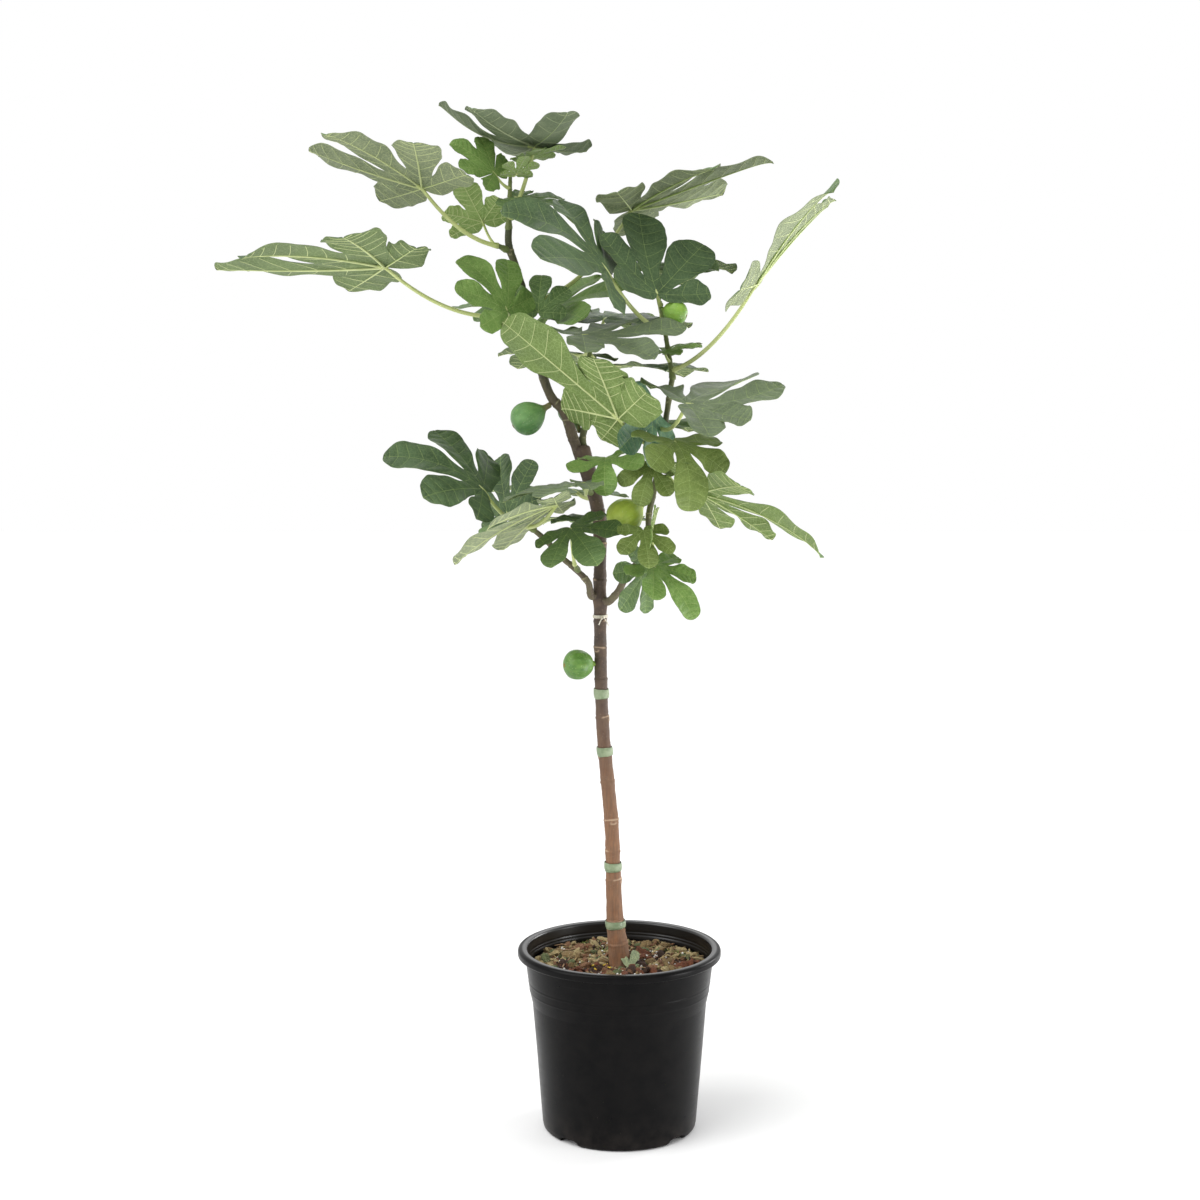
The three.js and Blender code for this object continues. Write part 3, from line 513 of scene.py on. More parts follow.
def effect(name, takes, gives, build):
    """A node group: takes holds its inputs' first values, besides the place that it reads, gives holds
    a value of the kind of each output, and build makes the outputs from the inputs."""
    tree = bpy.data.node_groups.new(name, "ShaderNodeTree")
    for way, sockets in (("INPUT", {"Vector": None, **takes}), ("OUTPUT", gives)):
        for label, value in sockets.items():
            kind = {float: "Float", tuple: "Color"}.get(type(value), "Vector")
            socket = tree.interface.new_socket(label, in_out=way, socket_type="NodeSocket" + kind)
            if way == "INPUT" and value is not None:
                socket.default_value = value
    given, put = tree.nodes.new("NodeGroupInput").outputs, tree.nodes.new("NodeGroupOutput").inputs
    for label, socket in build(Pattern(tree, given["Vector"]), given).items():
        tree.links.new(socket, put[label])
    return tree


def mottled(made, given):
    """Two colours mixed by soft noise, and the noise itself."""
    noise = {"Vector": made.place, "Scale": given["Scale"], "Detail": 5.0, "Roughness": 0.6}
    low, high = [made.maths(way, 0.5, given["Spread"]) for way in ("SUBTRACT", "ADD")]
    value = made.spread(made.node("TexNoise", noise)["Fac"], low, high)
    return {"Colour": made.mix(value, given["Dark"], given["Light"]), "Value": value}


def networked(made, given):
    """Lines between the cells of a Voronoi pattern: 1 on a line and 0 inside a cell."""
    takes = {"Vector": made.place, "Scale": given["Scale"]}
    away = made.node("TexVoronoi", takes, feature="DISTANCE_TO_EDGE")["Distance"]
    return {"Lines": made.spread(away, 0.0, given["Width"], 1.0, 0.0)}


def specked(made, given):
    """Small round specks: 1 inside a speck, from the distance to the middle of a Voronoi cell, and only
    in as many cells as Share says."""
    cells = made.node("TexVoronoi", {"Vector": made.place, "Scale": given["Scale"]})
    inside = made.spread(cells["Distance"], 0.0, given["Size"], 1.0, 0.0)
    dice = made.node("SeparateColor", {"Color": cells["Color"]})[0]
    return {"Mask": made.maths("MULTIPLY", inside, made.maths("LESS_THAN", dice, given["Share"]))}


BLACK, WHITE = (0.0, 0.0, 0.0, 1.0), (1.0, 1.0, 1.0, 1.0)
MOTTLE = effect("mottle", {"Dark": BLACK, "Light": WHITE, "Scale": 50.0, "Spread": 0.15},
                {"Colour": BLACK, "Value": 0.0}, mottled)
NETWORK = effect("network", {"Scale": 200.0, "Width": 0.1}, {"Lines": 0.0}, networked)
SPECKS = effect("specks", {"Scale": 200.0, "Size": 0.2, "Share": 0.5}, {"Mask": 0.0}, specked)


def linear(colour):
    """A colour written as six hexadecimal digits, as linear light with full alpha."""
    parts = [int(colour[k : k + 2], 16) / 255 for k in (0, 2, 4)]
    return tuple(p / 12.92 if p <= 0.04045 else ((p + 0.055) / 1.055) ** 2.4 for p in parts) + (1.0,)


class Finish(Pattern):
    """A material under construction, whose patterns read object coordinates."""

    def __init__(self, name, roughness, **sockets):
        self.material = bpy.data.materials.new(name)
        self.material.use_nodes = True
        super().__init__(self.material.node_tree)
        self.place = self.node("TexCoord")["Object"]
        self.shader = self.tree.nodes["Principled BSDF"]
        for label, value in {"Roughness": roughness, **sockets}.items():
            self.shader.inputs[label.replace("_", " ")].default_value = value

    def done(self, colour, roughness, bump, depth, strength, **masks):
        """Links what varies over the surface to the shader."""
        relief = self.node("Bump", {"Height": bump, "Distance": depth, "Strength": strength})
        varying = {"Base Color": colour, "Roughness": roughness, "Normal": relief["Normal"], **masks}
        for label, socket in varying.items():
            self.tree.links.new(socket, self.shader.inputs[label])
        return self.material


# ---------------------------------------------------------------- finishes
def blade_finish(name, dark, light, line, gloss, roughness, net=0.28):
    """A leaf's face: mottled green, a fine network of paler veins and a slight relief of its cells."""
    made = Finish(name, roughness, Specular_IOR_Level=gloss)
    green = made.use(MOTTLE, Dark=linear(dark), Light=linear(light), Scale=28.0, Spread=0.16)
    coarse, fine = [made.maths("MULTIPLY", made.use(NETWORK, Scale=scale, Width=width)["Lines"], share)
                    for scale, width, share in ((190.0, 0.10, net), (520.0, 0.16, 0.4 * net))]
    lines = made.maths("ADD", coarse, fine)
    rough = made.spread(green["Value"], 0, 1, roughness - 0.05, roughness + 0.08)
    bump = made.maths("SUBTRACT", made.maths("MULTIPLY", green["Value"], 0.3), lines)
    return made.done(made.mix(lines, green["Colour"], linear(line)), rough, bump, 0.0004, 0.55)


def plain_finish(name, dark, light, scale, roughness, grain=900.0, depth=0.0003, strength=0.4):
    """Two close colours in soft patches, with a fine grain."""
    made = Finish(name, roughness)
    patches = made.use(MOTTLE, Dark=linear(dark), Light=linear(light), Scale=scale, Spread=0.2)
    fine = made.use(MOTTLE, Scale=grain, Spread=0.3)["Value"]
    rough = made.spread(patches["Value"], 0, 1, roughness - 0.06, min(1.0, roughness + 0.08))
    return made.done(patches["Colour"], rough, fine, depth, strength)


def bark_finish(name, low, high, streak, pore, scar, from_height, to_height):
    """Smooth young bark whose colour changes with height, with upright streaks, pale pores, and pale
    scars where the mesh is marked."""
    made = Finish(name, 0.72)
    share = made.spread(made.height(), from_height, to_height)
    streaks = made.use(MOTTLE, Vector=made.stretched((1, 1, 0.12)), Scale=420.0, Spread=0.2)["Value"]
    patches = made.use(MOTTLE, Scale=55.0, Spread=0.18)["Value"]
    pores = made.use(SPECKS, Vector=made.stretched((1, 1, 1.7)), Scale=210.0, Size=0.30, Share=0.5)["Mask"]
    marked = made.node("Attribute", attribute_name=MARKS)["Fac"]
    colour = made.mix(share, linear(low), linear(high))
    for mask, part, over in ((streaks, 0.5, streak), (patches, 0.32, pore), (pores, 0.6, pore),
                             (marked, 0.85, scar)):
        colour = made.mix(made.maths("MULTIPLY", mask, part), colour, linear(over))
    bump = made.maths("ADD", made.maths("MULTIPLY", streaks, 0.6), pores)
    return made.done(colour, made.spread(patches, 0, 1, 0.62, 0.85), bump, 0.0006, 0.6)


def fig_finish(name, dark, light, shade_tint, neck_tint, from_height, to_height):
    """A green fig: soft patches with faint streaks from end to end, fine pale specks, painted shade
    darkening its lower side, and another tint on its neck."""
    made = Finish(name, 0.42, Subsurface_Weight=0.05)
    skin = made.use(MOTTLE, Dark=linear(dark), Light=linear(light), Scale=75.0, Spread=0.2)
    # painted shade: the lower side darkens towards the third colour of the row, by height
    low = made.spread(made.height(), from_height, to_height, 1.0, 0.0)
    chart = made.node("TexCoord")["UV"]
    lengthwise = made.node("Mapping", {"Vector": chart, "Scale": (0.05, 1, 1)})[0]
    streaks = made.use(MOTTLE, Vector=lengthwise, Scale=34.0, Spread=0.16)["Value"]
    specks = made.use(SPECKS, Scale=420.0, Size=0.26, Share=0.55)["Mask"]
    colour = skin["Colour"]
    for mask, part, over in ((low, 0.75, shade_tint), (streaks, 0.4, light), (specks, 0.7, "d5e0a6")):
        colour = made.mix(made.maths("MULTIPLY", mask, part), colour, linear(over))
    along = made.node("SeparateXYZ", {"Vector": chart})["X"]
    colour = made.mix(made.spread(along, 0.07, 0.24, 0.85, 0.0), colour, linear(neck_tint))
    return made.done(colour, made.spread(skin["Value"], 0, 1, 0.36, 0.55), specks, 0.0002, 0.5)


# A gloss fades in over the first pair, which are heights, and out over the second, which are radii.
LIP_GLOSS = ((0.244, 0.247), (0.1325, 0.1355))
INNER_GLOSS = ((0.228, 0.230), (0.1274, 0.1280))
DUST_HEIGHT = 0.05        # the film of dust thins out up to this height


def pot_finish():
    """Black moulded plastic: satin, with faint scuffs, a thin film of dust low down, and a gloss on the
    lip and the inside."""
    made = Finish("pot_plastic", 0.36, Specular_IOR_Level=0.095, Coat_Roughness=0.3)
    base = made.use(MOTTLE, Dark=linear("040405"), Light=linear("070708"), Scale=14.0, Spread=0.3)["Colour"]
    dust = made.use(MOTTLE, Scale=45.0, Spread=0.25)["Value"]
    low = made.spread(made.height(), 0.0, DUST_HEIGHT, 1.0, 0.0)
    film = made.maths("MULTIPLY", made.maths("ADD", made.maths("MULTIPLY", low, 0.05), 0.012), dust)
    flecks = made.use(SPECKS, Scale=130.0, Size=0.12, Share=0.08)["Mask"]
    dusty = made.mix(film, base, linear("8a7d74"))
    colour = made.mix(made.maths("MULTIPLY", flecks, 0.12), dusty, linear("978a80"))
    scuffs = made.use(MOTTLE, Vector=made.stretched((1, 1, 5.0)), Scale=40.0, Spread=0.3)["Value"]
    rough = made.spread(made.maths("ADD", scuffs, dust), 0, 2, 0.27, 0.36)
    out = made.node("VectorMath", {0: made.stretched((1, 1, 0))}, operation="LENGTH")["Value"]
    lip, inner = [
        made.maths("MULTIPLY", made.spread(made.height(), *heights), made.spread(out, *radii, 1.0, 0.0))
        for heights, radii in (LIP_GLOSS, INNER_GLOSS)
    ]
    grain = made.use(MOTTLE, Scale=1600.0, Spread=0.3)["Value"]
    gloss = {"Coat Weight": made.maths("MAXIMUM", lip, inner)}
    return made.done(colour, rough, grain, 0.0001, 0.2, **gloss)


# A leaf face's row: two greens, the colour of its fine veins, its gloss and roughness, and how clear the
# veins are.
LEAF_TOPS = {name: blade_finish("leaf_top_" + name, *row) for name, row in {
    "dark": ("42573a", "526946", "7c9161", 0.25, 0.50),
    "mid": ("4d673d", "5f7a49", "8da566", 0.25, 0.52),
    # a greyed green: painted sheen, for leaf tops whose sheen shows at a glancing angle
    "grey": ("5b6a51", "6d7c5f", "95a376", 0.22, 0.52),
    "bright": ("62833f", "789950", "a8c074", 0.25, 0.50),
    "olive": ("5f7238", "738746", "a2b068", 0.22, 0.54),
    "fresh": ("7c9653", "90aa64", "c2d092", 0.25, 0.52),
    "blue": ("4b6e54", "5e8365", "87a37e", 0.25, 0.50),
}.items()}
LEAF_UNDERS = {name: blade_finish("leaf_" + name, *row) for name, row in {
    "under": ("5a6c44", "6a7c52", "9cab76", 0.2, 0.66, 0.4),
    "dusk": ("67735b", "79846a", "97a380", 0.2, 0.66, 0.3),
    "silver": ("748063", "879273", "bcc494", 0.2, 0.66, 0.4),
    "pale": ("667c43", "778d50", "a6b97a", 0.2, 0.64, 0.42),
    "lit": ("7c9653", "91a965", "b6c98a", 0.2, 0.62, 0.4),
}.items()}
VEIN_TOP = plain_finish("vein_top", "93ab5f", "a9bd74", 60.0, 0.55)
VEIN_DUSK = plain_finish("vein_dusk", "98a37c", "a8b28c", 60.0, 0.6)
VEIN_UNDER = plain_finish("vein_under", "bcc78a", "cdd69c", 60.0, 0.6)
STALK = plain_finish("leaf_stalk", "b4c074", "cbd492", 40.0, 0.5)
YOUNG_WOOD = plain_finish("young_wood", "5d6a38", "74804a", 70.0, 0.6)
BUD = plain_finish("bud_scale", "6f8f3c", "93a84e", 120.0, 0.5)
# The trunk's bark darkens upwards: partly its own colour, partly painted shade under the crown.
BARK = bark_finish("bark", "885e3e", "43372f", "443227", "8a7562", "b39a80", 0.38, 0.66)
LEADER_BARK = bark_finish("leader_bark", "5f5044", "3a4426", "352f22", "7c7559", "8f8a68", 0.97, 1.08)
GREEN_BARK = bark_finish("green_bark", "5c4d42", "4d5630", "3a3424", "8f8f6a", "95906c", 0.76, 0.92)
# A fig skin's row: two greens, a darker green painted on its lower side as shade, and the tint of its neck.
FIG_SKINS = {
    "green": ("5a8a4c", "7aa862", "48784a", "6f6240"),
    "leafy": ("44702a", "6b9440", "3c6428", "7f9a44"),
    "yellow": ("9fb840", "bdd05a", "3f5222", "7d8a44"),
    "lime": ("6f9c36", "8cb548", "4f7a30", "7d9a44"),
    "shade": ("3f6f30", "5a8a3e", "2c5526", "5f6a38"),
}
FIG_EYE_FINISH = plain_finish("fig_eye", "6d5a2c", "93803c", 200.0, 0.6)
POT = pot_finish()
SOIL = plain_finish("soil_fines", "1f1610", "3a281c", 260.0, 0.95, grain=700.0, depth=0.002, strength=1.0)
CHIPS = [plain_finish(*row, depth=0.0008, strength=0.8) for row in (
    ("bark_chip_dark", "2a1b13", "41291b", 300.0, 0.9),
    ("bark_chip_red", "5a3220", "74452c", 300.0, 0.88),
    ("bark_chip_brown", "6a4a33", "856246", 300.0, 0.9),
    ("bark_chip_tan", "6e5a3c", "8c764f", 300.0, 0.9),
    ("clump_pale", "92825a", "b5a379", 300.0, 0.95),
    ("clump_green", "4f5639", "6d754d", 300.0, 0.95),
)]
GRIT = plain_finish("white_grit", "d2cec4", "f0eee8", 400.0, 0.85, depth=0.0006, strength=0.8)
STRAW = plain_finish("straw", "b09463", "d2bb8a", 200.0, 0.75)
MOSS = plain_finish("moss", "4a6a24", "76903a", 300.0, 0.9)
YELLOW_BIT = plain_finish("yellow_bit", "c9a521", "e0c23c", 200.0, 0.7)
DRY_TWIG = plain_finish("dry_twig", "7c5f45", "a08263", 250.0, 0.8)
TAPE = plain_finish("tape_film", "718361", "93a180", 90.0, 0.40, grain=500.0, depth=0.0004)
CORD = plain_finish("string_fibre", "cfc8b6", "ece7da", 500.0, 0.85, depth=0.0004, strength=0.8)


# ---------------------------------------------------------------- limbs
LINE_STEPS = 700          # points on a limb's smooth line
limb_lines = {}


def limb_radius(name, share):
    """The radius at a share of a limb's length, between those its plan gives at even steps."""
    radii = LIMBS[name]["radii"]
    return np.interp(share, np.linspace(0, 1, len(radii)), radii)


def along_limb(name, share):
    """The point, the direction and the radius at a share of a limb's length."""
    line = limb_lines[name]
    at = share * (len(line) - 1)
    low = min(int(at), len(line) - 2)
    ahead = line[low + 1] - line[low]
    return line[low] + (at - low) * ahead, unit(ahead), float(limb_radius(name, share))


def off_line(vector, along):
    """The part of a vector that lies across a direction, as a unit vector."""
    return unit(np.asarray(vector, float) - np.dot(vector, along) * along)


def foot_on(limb, at, direction, foot_radius):
    """Where a stem's foot stands on a limb: just clear of the bark, or of the face at the limb's tip."""
    point, along, radius = along_limb(limb, at)
    out = along if at == 1 else off_line(direction, along)
    lean = math.sqrt(max(0, 1 - np.dot(direction, out) ** 2))
    return point + out * ((0 if at == 1 else radius) + GAP + foot_radius * lean)


def bough_start(limb):
    """The first two points of a bough, on its parent."""
    root = limb["root"]
    if "beside" in root:
        point, along, _ = along_limb(root["on"], 1)
        start = point + GAP * along
        for axis, shift in zip(np.eye(3), root["beside"]):
            start = start + off_line(axis, along) * shift
        return [start, start + along * root["stub"]]
    direction = aim(root["heading"], 0)
    start = foot_on(root["on"], root["at"], direction, limb["radii"][0])
    return [start, start + direction * root["stub"]]


for limb_name, limb in LIMBS.items():
    first = bough_start(limb) if "root" in limb else []
    limb_lines[limb_name] = smooth_line([*first, *limb["points"]], LINE_STEPS)


GIRTH_RADIUS = 8.5        # the mean radius of bark, which turns an angle into a length
PORE_SPACING = 5.0        # one pore for each such length of a limb
# The noise in bark: its height, how it is drawn out along the limb, its size, and its seed.
BARK_NOISE = ((0.30, 0.16, 2.4, 3), (0.28, 1, 9.0, 5), (0.14, 1, 1.7, 8))


def bark_relief(length, count, sides, nodes, rng):
    """How far bark stands out at each share and angle, and how pale it is there. Each node is a shallow
    ring with a raised half-moon scar on one side, pores are small bells, and long soft noise gives the
    streaks between them. Bark is pale on a scar and along the near half of its ring."""
    reach = np.linspace(0, length, count)[:, None]
    angle, half_girth = circle(sides)[None], GIRTH_RADIUS * np.pi
    ways = (GIRTH_RADIUS * np.cos(angle), GIRTH_RADIUS * np.sin(angle), reach)
    place = np.stack([np.broadcast_to(way, (count, sides)) for way in ways], axis=-1)
    relief = sum(high * lattice_noise(place * (1, 1, drawn), size, seed)
                 for high, drawn, size, seed in BARK_NOISE)
    pale = np.zeros((count, sides))
    for at, side in nodes:
        away = np.abs(apart(angle, side))
        ring = reach - at - 1.2 * np.cos(angle - side)
        scar = bell(reach, at - 3.2, 2.8) * bell(GIRTH_RADIUS * away, 0, 4.6)
        hollow = bell(reach, at - 2.8, 1.3) * bell(GIRTH_RADIUS * away, 0, 2.4)
        relief += 0.55 * bell(ring, 0, 1.3) - 0.35 * bell(ring, 3.0, 1.4)
        relief += 1.15 * scar - 0.75 * hollow + bell(reach, at, 9.0) * 0.45
        near = bell(ring, 0, 1.1) * (1 - smoothstep(away, 1.2, 2.0))
        for mark, full in ((scar - hollow, 0.6), (near, 0.8)):
            pale = np.maximum(pale, smoothstep(mark, 0.25, full))
    for _ in range(int(length / PORE_SPACING)):
        at, turn, wide = rng.uniform(0, length), rng.uniform(0, 2 * np.pi), rng.uniform(0.7, 1.3)
        off = (GIRTH_RADIUS * angle - GIRTH_RADIUS * turn + half_girth) % (2 * half_girth) - half_girth
        relief += 0.35 * bell(reach, at, 0.7) * bell(off, 0, wide)
    return relief, pale


COLLAR = 0.7              # how much a side bough swells where it leaves its parent
COLLAR_REACH = 9.0
ROOTED = 4.0              # how far a bough or a stem starts inside its parent
SIDE_ROOTED = 9.0         # the same for a bough that leaves the trunk's side
DOME = 6.0                # height of the rounded top of a limb
SUNK = 0.25               # how far the bark's mean lies under a limb's own radius
BARE_END = 4.0            # no node stands this close to a limb's end
NODE_TURN = 2.4           # how far round each node lies from the one before it, in radians


def limb_piece(name, spacing, sides, step, depth, rng, extra=None):
    """A limb's mesh: its line and radii, with bark relief added to the radius of every point. A bough
    starts a little inside its parent, a side bough swells there as a bell of its reach, and a top rounds
    off in a dome of radius R cos a and height h sin a."""
    line, root = limb_lines[name], LIMBS[name].get("root")
    length = float(np.sum(gaps_along(line)))
    count = int(length / step) + 1
    centre = resample(line, count)
    share = np.linspace(0, 1, count)
    radius = limb_radius(name, share)
    from_side = root is not None and "heading" in root
    if from_side:
        radius = radius + COLLAR * bell(share * length, 0, COLLAR_REACH)
    places = np.arange(0.5 * spacing, length - BARE_END, spacing)
    nodes = [(at + rng.uniform(-0.2, 0.2) * spacing, NODE_TURN * k + rng.uniform(-0.4, 0.4))
             for k, at in enumerate(places)]
    relief, pale = bark_relief(length, count, sides, nodes, rng)
    relief = depth * relief
    if extra is not None:
        relief = relief + extra(share[:, None], circle(sides)[None])
    steps = np.arange(count)
    ends = smoothstep(steps, 0, 2)[:, None] * smoothstep(count - 1 - steps, 0, 2)[:, None]
    skin = radius[:, None] - SUNK + relief * ends
    rounding = np.radians(np.linspace(12, 84, 7))[:, None]
    top = centre[-1] + unit(centre[-1] - centre[-2]) * DOME * np.sin(rounding)
    centre, skin = np.vstack([centre, top]), np.vstack([skin, skin[-1] * np.cos(rounding)])
    if root is not None:
        rooted = SIDE_ROOTED if from_side else ROOTED
        centre = np.vstack([centre[:1] - unit(centre[1] - centre[0]) * rooted, centre])
        skin, pale = np.vstack([skin[:1], skin]), np.vstack([pale[:1], pale])
    marks = np.zeros((len(centre), sides))
    marks[:len(pale)] = pale
    return {**tube(centre, skin, sides), "marks": np.concatenate([marks.ravel(), [0, 0]])}


def rough_collar(share, angle):
    """A rough, slightly swollen place on one side near the leader's foot, where it was once cut."""
    side = bell(apart(angle, 2.3), 0, 1.1)
    knobs = 0.5 + 0.5 * np.sin(260 * share) * np.sin(7 * angle + 40 * share)
    return side * bell(share, 0.085, 0.035) * (1.3 + 1.1 * knobs)


def shoulders(share, angle):
    """The trunk swells on the side of each bough that leaves it. An angle of 0 faces +Y, so a heading
    lies at its angle less a quarter turn."""
    total = 0
    for limb in LIMBS.values():
        root = limb.get("root", {})
        if "heading" in root:
            away = apart(angle, math.radians(root["heading"] - 90))
            total = total + 3.0 * bell(share, root["at"] - 0.004, 0.014) * bell(away, 0, 0.75)
    return total


bark_rng = np.random.default_rng(41)
for limb_name, spacing, sides, step, depth, finish, slot, extra in (
    # limb, spacing of its nodes, sides, step, depth of its relief, finish, slot, and what adds to its shape
    ("trunk", 46, 48, 1.15, 1.0, BARK, "bark", shoulders),
    ("leader_bough", 30, 36, 1.0, 0.8, LEADER_BARK, "bark", rough_collar),
    ("middle_bough", 26, 32, 0.9, 0.7, GREEN_BARK, "green_wood", None),
    ("right_bough", 32, 32, 1.0, 0.7, GREEN_BARK, "green_wood", None),
    ("left_bough", 26, 32, 0.9, 0.7, GREEN_BARK, "green_wood", None),
):
    piece = limb_piece(limb_name, spacing, sides, step, depth, bark_rng, extra)
    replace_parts(make_piece(limb_name + "_bark", piece, [finish]), limb_name)


# ---------------------------------------------------------------- leaves
INNER_ROWS = 5            # rows between the blade's foot and the gaps
ROWS_PER_VEIN = 5         # rows from one side vein to the next
COLUMNS = 16              # across a lobe
RIB_START = 0.72          # where the side veins begin on a rib, as a share of the gap's distance
EDGE_LEAD = 0.74          # under 1, side veins run forward towards the edge
BLADE_HALF_THICKNESS = 0.3
VEIN_PROUD = 0.12         # how far a vein stands above the top face
RIB_SHARE = 0.0085        # radius of a rib at the foot, as a share of the blade
SIDE_VEIN_SHARE = 0.0036
THIN_VEIN = 0.56          # no rib is thinner than this
QUILTING = 0.0075         # height of the cushions between side veins, as a share of the blade
WAVE = 0.016              # height of the waves along the edge
TEETH = 0.024             # depth of the rounded teeth, as a share of the half width
HEEL_BULGE = 0.13         # how far the back edge rounds out, as a share of its length
NOD = 0.05                # how far the tip of a lobe may bend down, as a share of the blade
STRAIGHT = 0.01           # the bend of a blade that doesn't droop, in degrees
BLADE_SPAN = 2.8          # the side of the square that holds any flat blade of length 1
CHEVRON = 1.25            # how sharply the rows of a lobe turn at its rib: 1 is straight
FOLDING = 1.6             # how sharply a lobe folds at its rib
RIB_SIDES, VEIN_SIDES = 6, 5


def lobe_half_width(distance, lobe, gap):
    """Half the width of a lobe: a smoothstep from the gap's half width to its widest, then
    half times the square root of 1 - past^blunt, where past runs from 0 to 1 at the tip."""
    widest = LOBE_WIDEST * lobe["length"]
    rising = gap["half"] + (lobe["half"] - gap["half"]) * smoothstep(distance, gap["distance"], widest)
    past = np.clip((distance - widest) / (lobe["length"] - widest), 0, 1)
    rounding = lobe["half"] * np.sqrt(np.maximum(0, 1 - past ** lobe["blunt"]))
    return np.where(distance < widest, rising, rounding)


def lobe_plan(leaf):
    """The five lobes of a flat blade of length 1: angle, length, half width, and the gap on each side."""
    cut = leaf["cut"]
    lobes = [{
        "angle": math.radians(angle * leaf["splay"]),
        "length": length * size,
        "half": half * leaf["wide"] * (0.6 + 0.4 * size),
        "veins": veins,
        "blunt": blunt,
        "heel": heel,
    } for (angle, length, half, veins, blunt), size, heel in zip(LOBES, leaf["lobes"], (-1, 0, 0, 0, 1))]
    corners = [(HEEL_RADIUS * cut, lobes[0]["angle"] - math.radians(HEEL_ANGLE))]
    for one, two in zip(lobes, lobes[1:]):
        shorter = min(one["length"], two["length"])
        corners.append((cut * (shorter + 1) / 2, (one["angle"] + two["angle"]) / 2))
    corners.append((HEEL_RADIUS * cut, lobes[-1]["angle"] + math.radians(HEEL_ANGLE)))
    for k, lobe in enumerate(lobes):
        lobe["gaps"] = [{"distance": radius * math.cos(angle - lobe["angle"]),
                         "half": abs(radius * math.sin(angle - lobe["angle"]))}
                        for radius, angle in corners[k : k + 2]]
    return lobes


def lobe_grid(lobe, waves):
    """A lobe as rows of flat places with their lifts. A row is a chevron that leads to the edge: its
    distance is s + (e - s) |u|^chevron and its offset u times the half width at e, where s and e run from
    the foot of the lobe to its tip along the rib and along the edge. Lifts are shares of the blade."""
    steps = ROWS_PER_VEIN * lobe["veins"]
    ahead = np.linspace(0, 1, steps + 1)
    out = np.sin(np.pi / 2 * ahead)[:, None]
    u = np.linspace(-1, 1, COLUMNS + 1)[None]
    right, left = lobe["gaps"]
    start = RIB_START * (right["distance"] + left["distance"]) / 2
    rib = start + (lobe["length"] - start) * out
    tooth = 0.5 - 0.5 * np.cos(2 * np.pi * lobe["veins"] * ahead)[:, None]
    notch = TEETH * tooth * (smoothstep(ahead, 0, 0.1) * (1 - ahead**2))[:, None]
    edges = [gap["distance"] + (lobe["length"] - gap["distance"]) * out**EDGE_LEAD for gap in (right, left)]
    halves = [lobe_half_width(edge, lobe, gap) * (1 - notch) for edge, gap in zip(edges, (right, left))]
    edge, half = np.where(u < 0, *edges), np.where(u < 0, *halves)
    distance = rib + (edge - rib) * np.abs(u) ** CHEVRON
    offset = u * half
    settle = smoothstep(ahead, 0, 0.22)[:, None] * (1 - ahead[:, None] ** 3)
    between = np.abs(np.sin(np.pi * lobe["veins"] * ahead))[:, None] ** 0.8
    cushion = (1 - bell(u, 0, 0.16)) * (1 - np.abs(u) ** 6) * between
    fold = LOBE_FOLD * np.abs(u) ** FOLDING
    phase, count, nod = waves
    wave = WAVE * np.abs(u) ** 3 * np.sin(2 * np.pi * count * ahead[:, None] + phase + np.pi * (u > 0))
    lift = settle * (fold + wave) + QUILTING * cushion * smoothstep(ahead, 0, 0.08)[:, None]
    lift = lift - NOD * nod * lobe["length"] * ahead[:, None] ** 3
    inner = np.arange(INNER_ROWS)[:, None] / INNER_ROWS
    palm = QUILTING * np.sin(np.pi * inner) * (1 - bell(u, 0, 0.2)) * (1 - u**4)
    bulge = HEEL_BULGE * np.sin(np.pi * inner) * np.clip(u * lobe["heel"], 0, 1) ** 2
    distance, offset = (np.vstack([inner * distance[:1] - bulge * np.abs(offset[:1]), distance]),
                        np.vstack([inner * offset[:1] + bulge * lobe["heel"] * distance[:1], offset]))
    lift = np.vstack([palm, lift])
    turn = np.array([[math.cos(lobe["angle"]), math.sin(lobe["angle"])],
                     [-math.sin(lobe["angle"]), math.cos(lobe["angle"])]])
    return np.stack([distance, offset], axis=-1) @ turn, lift


def blade_surface(foot, leaf):
    """Where flat places lie in the air. The rib leaves along face and pitch and bends down in an arc
    through `droop`, the sides fall as cup y^2, and the blade turns about its rib by `twist`."""
    blade, cup = leaf["blade"], leaf["cup"]
    face, roll, twist = [math.radians(leaf[key]) for key in ("face", "roll", "twist")]
    rib = aim(leaf["face"], leaf["pitch"])
    level = np.array([-math.sin(face), math.cos(face), 0.0])
    side = level * math.cos(roll) + np.cross(rib, level) * math.sin(roll)
    up = np.cross(rib, side)
    bend = math.radians(leaf["droop"] or STRAIGHT) / blade

    def bare(x, y):
        turn = twist * x / blade
        fall = cup * y * y / blade
        off = y * np.cos(turn) + fall * np.sin(turn)
        rise = y * np.sin(turn) - fall * np.cos(turn)
        ahead = np.sin(bend * x) / bend + np.sin(bend * x) * rise
        above = np.cos(bend * x) * rise - (1 - np.cos(bend * x)) / bend
        return foot + ahead[..., None] * rib + off[..., None] * side + above[..., None] * up

    def place(flat, lift):
        x, y = flat[..., 0] * blade, flat[..., 1] * blade
        step = 0.01 * blade
        along, across = bare(x + step, y) - bare(x - step, y), bare(x, y + step) - bare(x, y - step)
        normal = unit(np.cross(along, across))
        return bare(x, y) + np.asarray(lift)[..., None] * normal, normal

    return place


